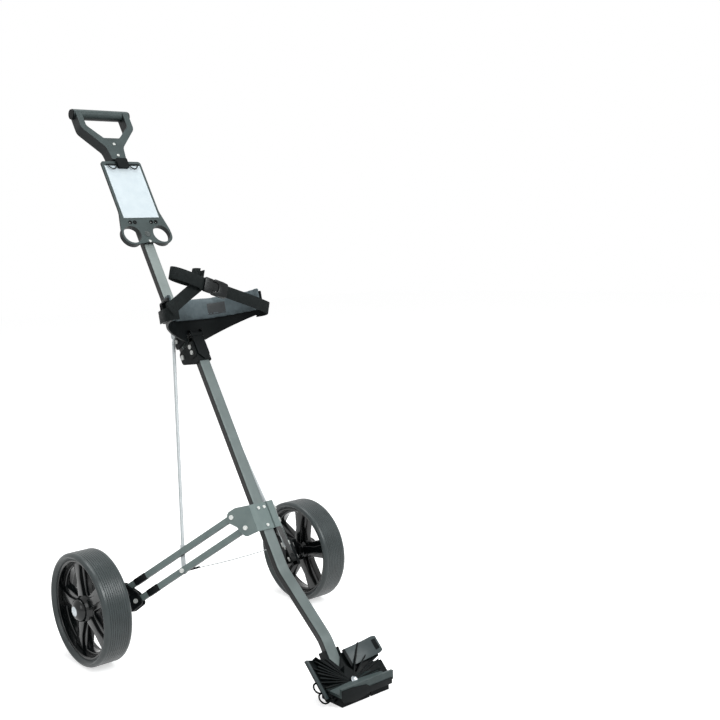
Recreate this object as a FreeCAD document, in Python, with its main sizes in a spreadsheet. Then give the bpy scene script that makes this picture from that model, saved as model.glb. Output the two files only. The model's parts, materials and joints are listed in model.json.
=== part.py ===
import FreeCAD, Part
import math
import os
import re
from FreeCAD import Placement, Rotation, Vector

# Two-wheel pull trolley for a golf bag. Millimetres, +Z up. The bag's side of the mast faces -Y
# and the wheels stand behind the resting foot, at +Y; +X is the side on the right from in front.
# The origin lies on the ground under the middle of the foot's pads.

os.makedirs("parts", exist_ok=True)
doc = FreeCAD.newDocument("trolley")
sheet = doc.addObject("Spreadsheet::Sheet", "dim")

SIZES = [
    # whole trolley
    ("mast_angle", 59.5),        # mast above the ground, degrees
    ("pivot_y", 484.0),          # fold pivot, from the origin
    ("pivot_z", 590.0),
    ("axle_y", 468.0),           # wheel centres, from the origin
    ("track", 559.0),            # between the wheels' middle planes
    # mast tubes
    ("tube_w", 26.0),
    ("tube_d", 16.0),
    ("tube_wall", 1.5),
    ("tube_corner", 3.0),
    ("lower_offset", 39.5),      # lower tube ahead of the fold pivot
    ("lower_top", 13.0),
    ("knee_drop", 491.0),        # pivot to the first bend, along the mast
    ("seam_drop", 26.0),         # bend to the joint of the two lower tubes
    ("shin_drop", 152.0),        # first bend to second bend
    ("shin_step", 50.5),         # how far the foot tube stands ahead of the mast
    ("foot_drop", 78.0),         # second bend to the tube's lower end
    ("knee_radius", 70.0),
    ("upper_top", 541.0),        # pivot to the upper tube's end
    ("upper_tail", 9.0),         # upper tube below the pivot
    ("fit_gap", 0.3),            # between pieces that are slipped together
    ("pin_gap", 0.05),           # pins and bolts in their holes
    ("rivet_r", 1.8),
    ("rivet_head", 3.3),
    ("rivet_rise", 1.5),
    # wheels
    ("wheel_radius", 115.0),
    ("tyre_w", 62.0),
    ("tyre_depth", 15.0),
    ("shoulder", 9.0),
    ("rim_wall", 4.0),
    ("rim_lip", 8.0),
    ("hub_radius", 19.0),
    ("hub_w", 50.0),
    ("spoke_count", 5.0),
    ("right_turn", 59.6),        # first window above +Y, degrees
    ("left_turn", 75.0),
    ("spoke_w", 30.0),
    ("spoke_thick", 9.0),
    ("spoke_rib", 12.0),
    ("axle_radius", 6.0),
    ("axle_inset", 63.5),        # stub axle's inner end, in from the wheel's middle plane
    ("axle_out", 7.0),           # stub axle beyond the hub
    ("cap_radius", 16.5),
    ("cap_thick", 4.0),
    # axle brackets
    ("clevis_wall", 4.0),
    ("block_inset", 65.5),       # block's inner face, in from the wheel's middle plane
    ("block_w", 32.0),
    ("block_front", 19.0),       # block ahead of the axle, behind it, above it and below it
    ("block_rear", 22.0),
    ("block_up", 35.0),
    ("block_down", 20.0),
    ("boss_radius", 13.0),
    ("catch_w", 12.0),
    ("catch_t", 3.0),
    ("catch_inset", 55.5),
    ("catch_down", 31.0),        # catch's lower end below the axle
    ("groove_r", 4.5),
    # wheel bracket and arms
    ("sheet_t", 2.2),
    ("bracket_top", 352.0),      # below the pivot, along the mast
    ("bracket_h", 55.0),
    ("ridge_in", 13.8),
    ("ridge_out", 29.4),
    ("ridge_rise", 2.8),
    ("root_x", 43.0),            # lower arm's root pivot
    ("root_n", 35.6),
    ("root_drop", 391.0),
    ("pivot_inset", 70.256),    # lower outer pivot: in from the wheel's middle plane,
    ("pivot_fore", 61.418),     # ahead of the axle
    ("pivot_rise", 10.663),     # and above it
    ("arm_step_a", 14.0),        # upper root pivot from the lower one, along the arm
    ("arm_step_b", 33.0),        # and across it
    ("arm_h", 12.5),
    ("arm_t", 9.0),
    ("arm_wall", 1.2),
    ("arm_over", 8.0),           # arm beyond its pivots
    ("arm_bolt", 3.0),
    ("head_r", 4.6),
    ("head_t", 2.2),
    ("nut_t", 3.6),
    ("strut_at", 155.5),         # push rod bolt along the lower arm
    # push rods and tie wire
    ("strut_r", 3.4),
    ("strut_eye_r", 7.0),
    ("strut_eye_t", 3.0),
    ("strut_x", 21.5),           # upper end of the push rod
    ("strut_n", 3.0),
    ("strut_m", 50.0),
    ("stud_r", 5.0),
    ("stud_gap", 0.8),           # room for the rod's eye to tilt as the mast folds
    ("wire_r", 0.9),
    ("wire_sleeve_r", 2.0),
    ("wire_sleeve_len", 34.0),
    # fold hinge
    ("hinge_plate_t", 2.5),
    ("hinge_lower_top", 14.0),
    ("hinge_web_top", 3.0),      # low enough for the latch lever to swing past
    ("hinge_lower_drop", 33.0),
    ("hinge_boss_r", 13.0),
    ("hinge_upper_low", 24.0),
    ("hinge_upper_h", 62.0),
    ("hinge_front_n", 47.8),
    ("pivot_r", 4.0),
    ("latch_w", 25.0),
    ("latch_drop", 31.0),
    ("latch_t", 3.0),
    ("latch_top", 24.0),         # above the pivot
    ("latch_taper", 14.0),
    ("latch_pin_m", 27.0),
    ("latch_pin_r", 2.0),
    ("knuckle_r", 4.0),
    ("ear_t", 3.0),
    # upper cradle
    ("cradle_r", 106.0),         # bag radius that it holds
    ("cradle_n", 62.0),          # pad face ahead of the pivot
    ("cradle_low", 54.0),        # pad's lower edge above the pivot, along the mast
    ("cradle_h", 45.0),
    ("cradle_half", 82.0),       # half of the arc, degrees
    ("cradle_dip", 19.0),        # wings tipped down towards the front, degrees
    ("pad_t", 7.0),
    ("strap_t", 2.0),
    ("strap_w", 25.0),
    ("strap_sink", 8.0),         # strap round the wings below the pad's lower edge
    ("strap_tilt", 21.0),        # strap across the front, degrees down to the right wing
    ("buckle_rise", 47.0),       # buckle's middle above the pad's lower edge
    ("shell_t", 4.0),
    # handle and card holder
    ("grip_m", 618.0),
    ("grip_r", 12.0),
    ("grip_half", 70.0),
    ("handle_t", 26.0),
    ("handle_n", 3.0),
    ("socket_low", 490.0),
    ("card_top", 484.0),
    ("card_below", 23.0),        # plate's lower edge below the ball holes
    ("card_half", 51.0),
    ("card_n", 16.0),
    ("card_t", 4.0),
    ("ball_x", 37.0),
    ("ball_drop", 30.0),         # ball holes below the tee holes
    ("ball_r", 21.0),
    ("ball_rim", 4.5),
    ("ball_deep", 12.0),
    ("tee_r", 2.6),
    ("tee_m", 325.0),
    ("card_above", 11.0),        # card above the tee holes
    ("card_sheet_half", 45.0),
    # resting foot
    ("foot_half", 64.0),
    ("ledge_front", 33.0),       # ledge's face ahead of the origin
    ("ledge_low", 20.0),
    ("ledge_h", 17.0),
    ("ledge_t", 5.0),
    ("pad_half", 58.0),          # pads: half width, where they part, half depth
    ("pad_split", 9.0),
    ("pad_slit", 4.0),
    ("pad_reach", 27.0),
    ("dish_y", -15.0),           # lower edge of the dish
    ("dish_z", 12.0),
    ("dish_tilt", 46.0),         # dish above the ground, degrees
    ("dish_len", 85.0),
    ("dish_half", 78.0),
    ("dish_r", 158.0),
    ("dish_t", 5.0),
    ("cord_r", 1.3),
]
size = dict(SIZES)
for row, (word, value) in enumerate(SIZES, start=1):
    sheet.set("A%d" % row, word)
    sheet.set("B%d" % row, repr(value))
    sheet.setAlias("B%d" % row, word)
doc.recompute()
s = type("Sizes", (), size)


def derive(word, value):
    """A size that follows from others, kept in the sheet beside them."""
    at = len(SIZES) + 1 + len(derived)
    derived.append(word)
    size[word] = float(value)
    sheet.set("A%d" % at, word)
    sheet.set("B%d" % at, repr(float(value)))
    sheet.setAlias("B%d" % at, word)
    setattr(s, word, value)


derived = []
derive("block_in", s.track / 2 - s.block_inset)
derive("axle_in", s.track / 2 - s.axle_inset)
derive("catch_in", s.track / 2 - s.catch_inset)
derive("ball_m", s.tee_m - s.ball_drop)
derive("card_low", s.ball_m - s.card_below)
derive("card_sheet_h", s.card_top - 12 - s.tee_m - s.card_above)

nodes = []


def linked(text):
    """The same formula with the sheet's name before each of its words."""
    return re.sub(r"[a-z]+(_[a-z]+)+|[a-z]+", lambda w: "dim." + w[0] if w[0] in size else w[0], text)


def bind(obj, **formulas):
    for prop, text in formulas.items():
        obj.setExpression(prop.replace("__", "."), linked(str(text)))
    return obj


def put(obj, x, y, z):
    """Binds the place of a feature to formulas of the sheet."""
    for axis, text in zip("xyz", (x, y, z)):
        obj.setExpression("Placement.Base." + axis, linked(str(text)))
    return obj


def block(x, y, z, lx, ly, lz):
    solid = doc.addObject("Part::Box", "Block")
    bind(solid, Length=lx, Width=ly, Height=lz)
    return put(solid, x, y, z)


def pin(x, y, z, radius, length, along="z"):
    solid = doc.addObject("Part::Cylinder", "Pin")
    bind(solid, Radius=radius, Height=length)
    turns = {"x": Rotation(Vector(0, 1, 0), 90), "y": Rotation(Vector(1, 0, 0), -90), "z": Rotation()}
    solid.Placement = Placement(Vector(), turns[along])
    return put(solid, x, y, z)


def hexNut(x, y, z, across, length, along="z"):
    solid = doc.addObject("Part::Prism", "Nut")
    solid.Polygon = 6
    bind(solid, Circumradius=across, Height=length)
    turns = {"x": Rotation(Vector(0, 1, 0), 90), "y": Rotation(Vector(1, 0, 0), -90), "z": Rotation()}
    solid.Placement = Placement(Vector(), turns[along])
    return put(solid, x, y, z)


def joined(*solids):
    if len(solids) == 1:
        return solids[0]
    whole = doc.addObject("Part::MultiFuse", "Whole")
    whole.Shapes = list(solids)
    whole.Refine = True
    return whole


def cut(base, *tools):
    piece = doc.addObject("Part::Cut", "Cut")
    piece.Base = base
    piece.Tool = joined(*tools)
    return piece


def group(*solids):
    """Separate solids that share a node, such as bolts of one kind."""
    several = doc.addObject("Part::Compound", "Group")
    several.Links = list(solids)
    return several


def free(shape):
    """A shape made with Part's own functions, as a feature of the document."""
    feature = doc.addObject("Part::Feature", "Form")
    feature.Shape = shape
    return feature


def rounded(obj, radius, edges):
    piece = doc.addObject("Part::Fillet", "Rounded")
    piece.Base = obj
    doc.recompute()
    piece.Edges = [(number, radius, radius) for number in edges]
    return piece


def node(label, obj, frame=None):
    """Names a sub-part and sets it in its frame."""
    if frame is not None:
        obj.Placement = frame.multiply(obj.Placement)
    obj.Label = label
    nodes.append(obj)
    return obj


def mirrored(label, obj):
    """The same piece on the left side."""
    twin = doc.addObject("Part::Mirroring", "Twin")
    twin.Source = obj
    twin.Normal = Vector(1, 0, 0)
    return node(label, twin)


def both(name, obj, frame=None):
    right = node(name + "_right", obj, frame)
    mirrored(name + "_left", right)


# ---- frames: local x is lateral, local y points back from the mast, local z goes up it
MAST = Placement(Vector(0, s.pivot_y, s.pivot_z), Rotation(Vector(1, 0, 0), s.mast_angle - 90))
ROOT = Vector(s.root_x, -s.root_n, -s.root_drop)
outer_pivot = Vector(s.track / 2 - s.pivot_inset, s.axle_y - s.pivot_fore, s.wheel_radius + s.pivot_rise)
arm_span = MAST.inverse().multVec(outer_pivot) - ROOT
derive("arm_len", arm_span.Length)
doc.recompute()
slope = math.atan2(arm_span.y, arm_span.x)
fall = math.asin(-arm_span.z / s.arm_len)
wing = Vector(math.cos(slope), math.sin(slope), 0)
armDir = wing * math.cos(fall) - Vector(0, 0, math.sin(fall))
armUp = wing * math.sin(fall) + Vector(0, 0, math.cos(fall))
armOut = armDir.cross(armUp)
ARM_LOCAL = Placement(ROOT, Rotation(armDir, armUp, armOut, "ZXY"))
ARM = MAST.multiply(ARM_LOCAL)


def profile(points):
    """A closed wire. A point with a third value rounds its corner with that radius."""
    count = len(points)
    edges = []
    last = None
    first = None
    for i, point in enumerate(points):
        here = Vector(point[0], point[1], 0)
        before = Vector(points[i - 1][0], points[i - 1][1], 0)
        after = Vector(points[(i + 1) % count][0], points[(i + 1) % count][1], 0)
        if len(point) == 3 and point[2] > 0:
            a = (before - here).normalize()
            b = (after - here).normalize()
            half = a.getAngle(b) / 2
            reach = point[2] / math.tan(half)
            middle = here + (a + b).normalize() * (point[2] / math.sin(half))
            start = here + a * reach
            end = here + b * reach
            through = middle + (here - middle).normalize() * point[2]
            arc = Part.Arc(start, through, end).toShape()
        else:
            start, end, arc = here, here, None
        if last is not None and (start - last).Length > 1e-6:
            edges.append(Part.makeLine(last, start))
        if arc:
            edges.append(arc)
        first = start if first is None else first
        last = end
    if (first - last).Length > 1e-6:
        edges.append(Part.makeLine(last, first))
    return Part.Wire(edges)


def prism(points, height, holes=(), low=0.0):
    """A flat outline raised along z; holes are (x, y, radius)."""
    face = Part.Face(profile(points))
    solid = face.extrude(Vector(0, 0, height))
    for x, y, radius in holes:
        solid = solid.cut(Part.makeCylinder(radius, height + 2, Vector(x, y, -1)))
    solid.translate(Vector(0, 0, low))
    return solid


def across(shape):
    """Turns a prism's outline from (x, y) to (back, up), raised along x."""
    shape.Placement = Placement(Vector(), Rotation(Vector(1, 1, 1), 120)).multiply(shape.Placement)
    return shape


def facing(shape):
    """Turns a prism's outline from (x, y) to (lateral, up), raised towards the front."""
    shape.Placement = Placement(Vector(), Rotation(Vector(1, 0, 0), 90)).multiply(shape.Placement)
    return shape


def mirrorX(shape):
    return shape.mirror(Vector(), Vector(1, 0, 0))


def boxOutline(w, d, corner):
    return [(-w / 2, -d / 2, corner), (w / 2, -d / 2, corner),
            (w / 2, d / 2, corner), (-w / 2, d / 2, corner)]


def bentTube(route, radius):
    """The mast's tube swept along straight runs and arcs of the plane x = 0, given as (back, up)."""
    points = [Vector(0, back, up) for back, up in route]
    edges = []
    last = points[0]
    for before, here, after in zip(points, points[1:], points[2:]):
        a = (before - here).normalize()
        b = (after - here).normalize()
        half = a.getAngle(b) / 2
        reach = radius / math.tan(half)
        middle = here + (a + b).normalize() * (radius / math.sin(half))
        through = middle + (here - middle).normalize() * radius
        edges.append(Part.makeLine(last, here + a * reach))
        edges.append(Part.Arc(here + a * reach, through, here + b * reach).toShape())
        last = here + b * reach
    edges.append(Part.makeLine(last, points[-1]))
    path = Part.Wire(edges)
    run = (points[1] - points[0]).normalize()
    shells = []
    for inset in (0.0, s.tube_wall):
        outline = profile(boxOutline(s.tube_w - 2 * inset, s.tube_d - 2 * inset, s.tube_corner - inset))
        outline.Placement = Placement(points[0], Rotation(Vector(1, 0, 0), Vector(), run, "ZXY"))
        shells.append(path.makePipeShell([outline], True, False))
    return shells[0].cut(shells[1])


# ---- mast: two lower tubes, the upper tube and their plugs
lower_back = -s.lower_offset
knee = (lower_back, -s.knee_drop)
ankle = (lower_back - s.shin_step, -s.knee_drop - s.shin_drop)
shin = math.hypot(s.shin_step, s.shin_drop)
seam_share = (s.seam_drop + 24) / shin
seam = (knee[0] + (ankle[0] - knee[0]) * seam_share, knee[1] + (ankle[1] - knee[1]) * seam_share)
toe = (ankle[0], ankle[1] - s.foot_drop)

rivet_spots = [(-7.0, -s.bracket_top - 9.5), (7.0, -s.bracket_top - 9.5),
               (0.0, -s.bracket_top - s.bracket_h + 8.5)]
hinge_bolt_m = (5.0, -8.0)


def bore(x, y, z, radius, length, direction):
    return Part.makeCylinder(radius, length, Vector(x, y, z), direction)


tube = bentTube([(lower_back, s.lower_top), knee, seam], s.knee_radius)
for x, up in rivet_spots:
    tube = tube.cut(bore(x, lower_back - s.tube_d, up, s.rivet_r + s.pin_gap, s.tube_d, Vector(0, 1, 0)))
for up in hinge_bolt_m:
    tube = tube.cut(bore(-s.tube_w, lower_back, up, s.arm_bolt + s.pin_gap, 2 * s.tube_w, Vector(1, 0, 0)))
node("mast_lower_tube", free(tube), MAST)
node("mast_foot_tube", free(bentTube([seam, ankle, toe], s.knee_radius)), MAST)

plug_head = block("-tube_w / 2", "-lower_offset - tube_d / 2", "lower_top", "tube_w", "tube_d", 2.5)
plug_spigot = block("-tube_w / 2 + tube_wall + 2 * fit_gap", "-lower_offset - tube_d / 2 + tube_wall + 2 * fit_gap",
                    "lower_top - 5", "tube_w - 2 * tube_wall - 4 * fit_gap",
                    "tube_d - 2 * tube_wall - 4 * fit_gap", 5)
node("mast_lower_plug", joined(plug_head, plug_spigot), MAST)

upper_out = block("-tube_w / 2", "-tube_d / 2", "-upper_tail", "tube_w", "tube_d", "upper_top + upper_tail")
upper_in = block("-tube_w / 2 + tube_wall", "-tube_d / 2 + tube_wall", "-upper_tail - 1",
                 "tube_w - 2 * tube_wall", "tube_d - 2 * tube_wall", "upper_top + upper_tail + 2")
upper_bolts = (38.0, 76.0)
stem_bolts = (500.0, 530.0)
upper_holes = [pin("-tube_w", 0, 0, "pivot_r + pin_gap", "2 * tube_w", "x")]
for up in upper_bolts:
    upper_holes.append(pin("-tube_w", 0, up, "arm_bolt + pin_gap", "2 * tube_w", "x"))
for up in stem_bolts:
    upper_holes.append(pin(0, "-tube_d", up, "rivet_r + pin_gap", "2 * tube_d", "y"))
upper_round = rounded(upper_out, s.tube_corner, (1, 3, 5, 7))
node("mast_upper_tube", cut(upper_round, upper_in, *upper_holes), MAST)

# ---- fold hinge: channel on the lower tube, channel on the upper tube, pivot bolt, latch
plate_in = s.tube_w / 2 + s.fit_gap
plate_out = plate_in + s.hinge_plate_t
front = -s.hinge_front_n


def sidePair(outline, holes, inner, thick):
    """Two like plates, one each side of the mast; the outline is (back, up)."""
    plate = across(prism(outline, thick, holes, inner))
    return plate.fuse(mirrorX(plate))


def frontWeb(low, high):
    width = 2 * plate_out
    return Part.makeBox(width, s.hinge_plate_t, high - low, Vector(-plate_out, front - s.hinge_plate_t, low))


lower_plate = [(s.hinge_boss_r - 4, s.hinge_boss_r, 9), (front - s.hinge_plate_t, s.hinge_lower_top, 2),
               (front - s.hinge_plate_t, -s.hinge_lower_drop, 2), (-34, -s.hinge_lower_drop, 4),
               (s.hinge_boss_r - 4, -s.hinge_boss_r, 9)]
lower_holes = [(0, 0, s.pivot_r + s.pin_gap)]
lower_holes += [(lower_back, up, s.arm_bolt + s.pin_gap) for up in hinge_bolt_m]
channel = sidePair(lower_plate, lower_holes, plate_in, s.hinge_plate_t)
channel = channel.fuse(frontWeb(-s.hinge_lower_drop + 2, s.hinge_web_top))
node("hinge_lower_bracket", free(channel), MAST)

strap_plate = [(-29, 13, 2), (-50, 13, 2), (-50, -19, 2), (-29, -19, 2)]
strap_holes = [(lower_back, up, s.arm_bolt + s.pin_gap) for up in hinge_bolt_m]
node("hinge_side_straps", free(Part.makeCompound([
    across(prism(strap_plate, 1.6, strap_holes, plate_out)),
    mirrorX(across(prism(strap_plate, 1.6, strap_holes, plate_out)))])), MAST)

side_reach = "tube_w / 2 + fit_gap + hinge_plate_t"


def throughBolt(back, up, seat, shank="arm_bolt", head="head_r"):
    """Bolt across the mast: head on the left, nut on the right. seat is the half width it clamps."""
    head_end = pin("-(%s) - head_t" % seat, back, up, head, "head_t", "x")
    body = pin("-(%s)" % seat, back, up, shank, "2 * (%s)" % seat, "x")
    nut = hexNut(seat, back, up, head + " + 0.4", "nut_t", "x")
    return joined(head_end, body, nut)


strap_seat = side_reach + " + 1.6"
node("hinge_lower_bolts", group(*[throughBolt("-lower_offset", up, strap_seat) for up in hinge_bolt_m]), MAST)
node("hinge_pivot_bolt", throughBolt(0, 0, side_reach, "pivot_r", "head_r + 1"), MAST)

yoke_back = s.tube_d / 2 + s.fit_gap + s.hinge_plate_t
yoke_top = s.hinge_upper_low + s.hinge_upper_h
upper_plate = [(yoke_back, s.hinge_upper_low, 1), (front, s.hinge_upper_low, 4),
               (front, yoke_top, 10), (yoke_back, yoke_top, 1)]
cradle_bolts = (34.0, 70.0)
upper_plate_holes = [(0, up, s.arm_bolt + s.pin_gap) for up in upper_bolts]
upper_plate_holes += [(lower_back, up, s.arm_bolt + s.pin_gap) for up in cradle_bolts]
yoke = sidePair(upper_plate, upper_plate_holes, plate_in, s.hinge_plate_t)
yoke = yoke.fuse(Part.makeBox(2 * plate_out, s.hinge_plate_t, s.hinge_upper_h,
                              Vector(-plate_out, yoke_back - s.hinge_plate_t, s.hinge_upper_low)))
node("hinge_upper_bracket", free(yoke), MAST)
node("hinge_upper_bolts", group(*[throughBolt(0, up, side_reach) for up in upper_bolts],
                                *[throughBolt("-lower_offset", up, side_reach) for up in cradle_bolts]), MAST)
stud = pin(side_reach, "-strut_n", "strut_m", "stud_r",
           "strut_x - strut_eye_t / 2 - stud_gap - (%s)" % side_reach, "x")
stud_twin = doc.addObject("Part::Mirroring", "Twin")
stud_twin.Source = stud
stud_twin.Normal = Vector(1, 0, 0)
node("push_rod_studs", group(stud, stud_twin), MAST)

# ---- latch lever: hangs over the lower tube's face and holds the two brackets in line
latch_n = s.hinge_front_n + s.hinge_plate_t + s.fit_gap
latch_pin_n = latch_n + s.latch_t / 2 + 0.9
half_latch = s.latch_w / 2
latch_side = -s.latch_drop + s.latch_taper
tongue = [(-half_latch, s.latch_top, 1), (half_latch, s.latch_top, 1), (half_latch, latch_side, 2),
          (0, -s.latch_drop, 3), (-half_latch, latch_side, 2)]
lever = facing(prism(tongue, s.latch_t, (), latch_n))
lever = lever.fuse(bore(-half_latch, -latch_pin_n, s.latch_pin_m, s.knuckle_r, s.latch_w, Vector(1, 0, 0)))
lever = lever.cut(bore(-s.latch_w, -latch_pin_n, s.latch_pin_m, s.latch_pin_r + s.pin_gap,
                       2 * s.latch_w, Vector(1, 0, 0)))
node("latch_lever", free(lever), MAST)
ear_in = half_latch + s.fit_gap
node("latch_pin", free(bore(-ear_in - s.ear_t, -latch_pin_n, s.latch_pin_m, s.latch_pin_r,
                            2 * (ear_in + s.ear_t),
                            Vector(1, 0, 0))), MAST)

# ---- upper cradle: moulded wall round the bag, its skirt, ribs and neck, and the pad
# frame of the wings: origin at the pad's lower middle, y back, z up, tipped with the wings
CRADLE = Placement(Vector(0, -s.cradle_n, s.cradle_low), Rotation(Vector(1, 0, 0), s.cradle_dip))


def ringPart(inner, outer, low, high, half, center):
    """Part of a ring about a bag that stands ahead of the mast, half the arc each side."""
    ring = Part.makeCylinder(outer, high - low, Vector(0, -center, low), Vector(0, 0, 1), 2 * half)
    ring = ring.cut(Part.makeCylinder(inner, high - low + 2, Vector(0, -center, low - 1)))
    ring.rotate(Vector(0, -center, 0), Vector(0, 0, 1), 90 - half)
    return ring


wall_in = s.cradle_r + s.pad_t + s.fit_gap
wall_out = wall_in + s.shell_t
wall = ringPart(wall_in, wall_out, -44, s.cradle_h, s.cradle_half, s.cradle_r)
reach = wall_out + 10
skirt = [(-reach, -2), (-24, -42, 8), (24, -42, 8), (reach, -2),
         (reach, s.cradle_h - 8), (30, s.cradle_h, 20),
         (-30, s.cradle_h, 20), (-reach, s.cradle_h - 8)]
skirt_form = facing(prism(skirt, 3 * reach, (), -reach))
wall = wall.common(skirt_form)
for low, wide in ((-3.0, 9.0), (14.0, 7.0), (30.0, 6.0)):
    wall = wall.fuse(ringPart(wall_in + 1, wall_out + wide, low, low + 2.5,
                              s.cradle_half - 3, s.cradle_r).common(skirt_form))
for turn in range(-72, 73, 12):
    rib = Part.makeBox(2.2, 7, 34, Vector(-1.1, wall_out - s.cradle_r - 1, -4))
    rib.rotate(Vector(0, -s.cradle_r, 0), Vector(0, 0, 1), turn)
    wall = wall.fuse(rib.common(skirt_form))
wall.Placement = CRADLE.multiply(wall.Placement)
bolt_room = s.tube_w / 2 + s.fit_gap + s.hinge_plate_t + s.nut_t + 2 * s.fit_gap
wall = wall.cut(Part.makeBox(2 * bolt_room, 200, 300, Vector(-bolt_room, -s.hinge_front_n - s.fit_gap, -100)))
neck_in = s.tube_w / 2 - 0.2
neck = across(prism([(-31.5, 26.5, 2), (-s.cradle_n + 2, 34, 0), (-s.cradle_n - 12, 14, 3),
                    (-s.cradle_n + 2, 60, 0),
                     (-s.cradle_n + 6, 92, 2), (-31.5, 84, 2)], 2 * neck_in, (), -neck_in))
for up in cradle_bolts:
    neck = neck.cut(bore(-s.tube_w, lower_back, up, s.arm_bolt + s.pin_gap, 2 * s.tube_w, Vector(1, 0, 0)))
space = ringPart(1, wall_in - 0.1, -60, 80, 179, s.cradle_r)
space.Placement = CRADLE.multiply(space.Placement)
neck = neck.cut(space)
ear = across(prism([(-s.cradle_n + 13, 22, 2), (-latch_pin_n - 4, 22, 3), (-latch_pin_n - 4, 34, 0),
                    (-s.cradle_n + 13, 40, 0)], s.ear_t, [(-latch_pin_n, s.latch_pin_m, s.latch_pin_r + s.pin_gap)], ear_in))
upper_cradle = wall.fuse(neck).fuse(ear).fuse(mirrorX(ear))
node("cradle_body", free(upper_cradle.removeSplitter()), MAST)

pad = ringPart(s.cradle_r, s.cradle_r + s.pad_t, 0, s.cradle_h, s.cradle_half, s.cradle_r)
node("cradle_pad", free(pad), MAST.multiply(CRADLE))

# ---- strap round the bag: webbing, slack ends and a side-release buckle
strap_t = s.strap_t


def ribbon(route, low, high, thick=strap_t):
    """Flat webbing on edge along a route of (lateral, back) points."""
    left = [Vector(x, y, 0) for x, y in route]
    edge = []
    for i, here in enumerate(left):
        before = left[max(i - 1, 0)]
        after = left[min(i + 1, len(left) - 1)]
        along = (after - before).normalize()
        edge.append(Vector(-along.y, along.x, 0) * (thick / 2))
    outline = [(p + e) for p, e in zip(left, edge)] + [(p - e) for p, e in reversed(list(zip(left, edge)))]
    solid = prism([(p.x, p.y) for p in outline], high - low)
    solid.translate(Vector(0, 0, low))
    return solid


tip = math.radians(s.cradle_half)
tip_back = -s.cradle_r + (wall_out + 3) * math.cos(tip)
strap_r = wall_out + 9 + strap_t / 2 + 3 * s.fit_gap
wrap_low = -s.strap_sink
wrap_high = wrap_low + s.strap_w
strap_y = tip_back - 14
# frame of the strap across the front: origin at the buckle, x towards the right wing, tilted down to it
FRONT = Placement(Vector(-4, strap_y, s.buckle_rise), Rotation(Vector(0, 1, 0), s.strap_tilt))
front_x = Vector(math.cos(math.radians(s.strap_tilt)), 0, -math.sin(math.radians(s.strap_tilt)))
half_w = s.strap_w / 2


def inFront(shape):
    shape.Placement = FRONT.multiply(shape.Placement)
    return shape


round_tip = []
for turn in (s.cradle_half - 18, s.cradle_half - 9, s.cradle_half):
    round_tip.append((strap_r * math.sin(math.radians(turn)), -s.cradle_r + strap_r * math.cos(math.radians(turn))))
round_tip += [(strap_r - 4, strap_y + 7), (strap_r - 13, strap_y + 1), (strap_r - 24, strap_y)]
socket_half, tongue_end = 23.0, -32.0
front_end = (strap_r - 8 + 4) / front_x.x
strap_right = ribbon(round_tip, wrap_low, wrap_high)
strap_right = strap_right.fuse(inFront(ribbon([(socket_half + 0.4, 0), (front_end, 0)], -half_w, half_w)))
node("strap_right", free(strap_right), MAST.multiply(CRADLE))
# left: round the wing, up to the slider, and the slack that stands beyond it
slider = FRONT.multVec(Vector(tongue_end - 4, 6, 0))
wing_end = Vector(-strap_r + 8, strap_y, wrap_low + half_w)
rise = slider - wing_end
RISE = Placement(wing_end, Rotation(Vector(rise.x, 0, rise.z), Vector(0, 1, 0), Vector(), "XYZ"))
climb = ribbon([(-4, 0), (rise.Length * 0.25, 0), (rise.Length * 0.8, 6.9), (rise.Length, 7)], -half_w, half_w)
climb.Placement = RISE.multiply(climb.Placement)
strap_left = ribbon([(-x, y) for x, y in reversed(round_tip)], wrap_low, wrap_high).fuse(climb)
loop_a = [(tongue_end - 0.4, 0), (-58, -3), (-90, -3), (-104, 0), (-108, 6), (-104, 12), (-90, 14), (-58, 10),
          (tongue_end - 4, 7)]
loop_b = [(tongue_end - 8, 7), (-46, 14), (-50, 22), (-42, 27), (-33, 22), (-31, 14), (-30, 7)]
strap_left = strap_left.fuse(inFront(ribbon(loop_a, -half_w, half_w)))
strap_left = strap_left.fuse(inFront(ribbon(loop_b, half_w - 6, half_w - 6 + s.strap_w)))
strap_left = strap_left.fuse(inFront(Part.makeBox(6, 10, s.strap_w + 4, Vector(tongue_end - 9, -1.5, -half_w - 2))))
node("strap_left", free(strap_left), MAST.multiply(CRADLE))
socket_form = Part.makeBox(35, 10, s.strap_w + 7, Vector(socket_half - 35, -5, -half_w - 3.5))
tongue_space = Part.makeBox(24, 5.6, s.strap_w + 2, Vector(socket_half - 36, -2.8, -half_w - 1))
node("buckle_socket", free(inFront(socket_form.cut(tongue_space))), MAST.multiply(CRADLE))
tongue_form = Part.makeBox(socket_half - 35.3 - tongue_end, 10, s.strap_w + 4, Vector(tongue_end, -5, -half_w - 2))
for low in (-half_w, half_w - 5):
    tongue_form = tongue_form.fuse(Part.makeBox(22, 5, 5, Vector(socket_half - 36, -2.5, low)))
node("buckle_tongue", free(inFront(tongue_form)), MAST.multiply(CRADLE))

# ---- handle: D-shaped moulding with a round grip, slipped over the mast
grip_leg = 15.0
outer_d = [(-s.grip_half + 2, s.grip_m), (-s.grip_half + 2, 574, 22), (-22, 522, 20), (-18, s.socket_low, 2),
           (18, s.socket_low, 2), (22, 522, 20), (s.grip_half - 2, 574, 22), (s.grip_half - 2, s.grip_m)]
inner_d = [(-s.grip_half + 2 + grip_leg, s.grip_m), (-s.grip_half + 2 + grip_leg, 580, 12), (-20, 547, 6),
           (20, 547, 6), (s.grip_half - 2 - grip_leg, 580, 12), (s.grip_half - 2 - grip_leg, s.grip_m)]
handle_low = s.handle_n - s.handle_t / 2
frame = facing(prism(outer_d, s.handle_t, (), handle_low))
window = facing(prism(inner_d, s.handle_t + 4, (), handle_low - 2))
frame = frame.cut(window)
frame = frame.fuse(bore(-s.grip_half, -s.handle_n, s.grip_m, s.grip_r, 2 * s.grip_half, Vector(1, 0, 0)))
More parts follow.
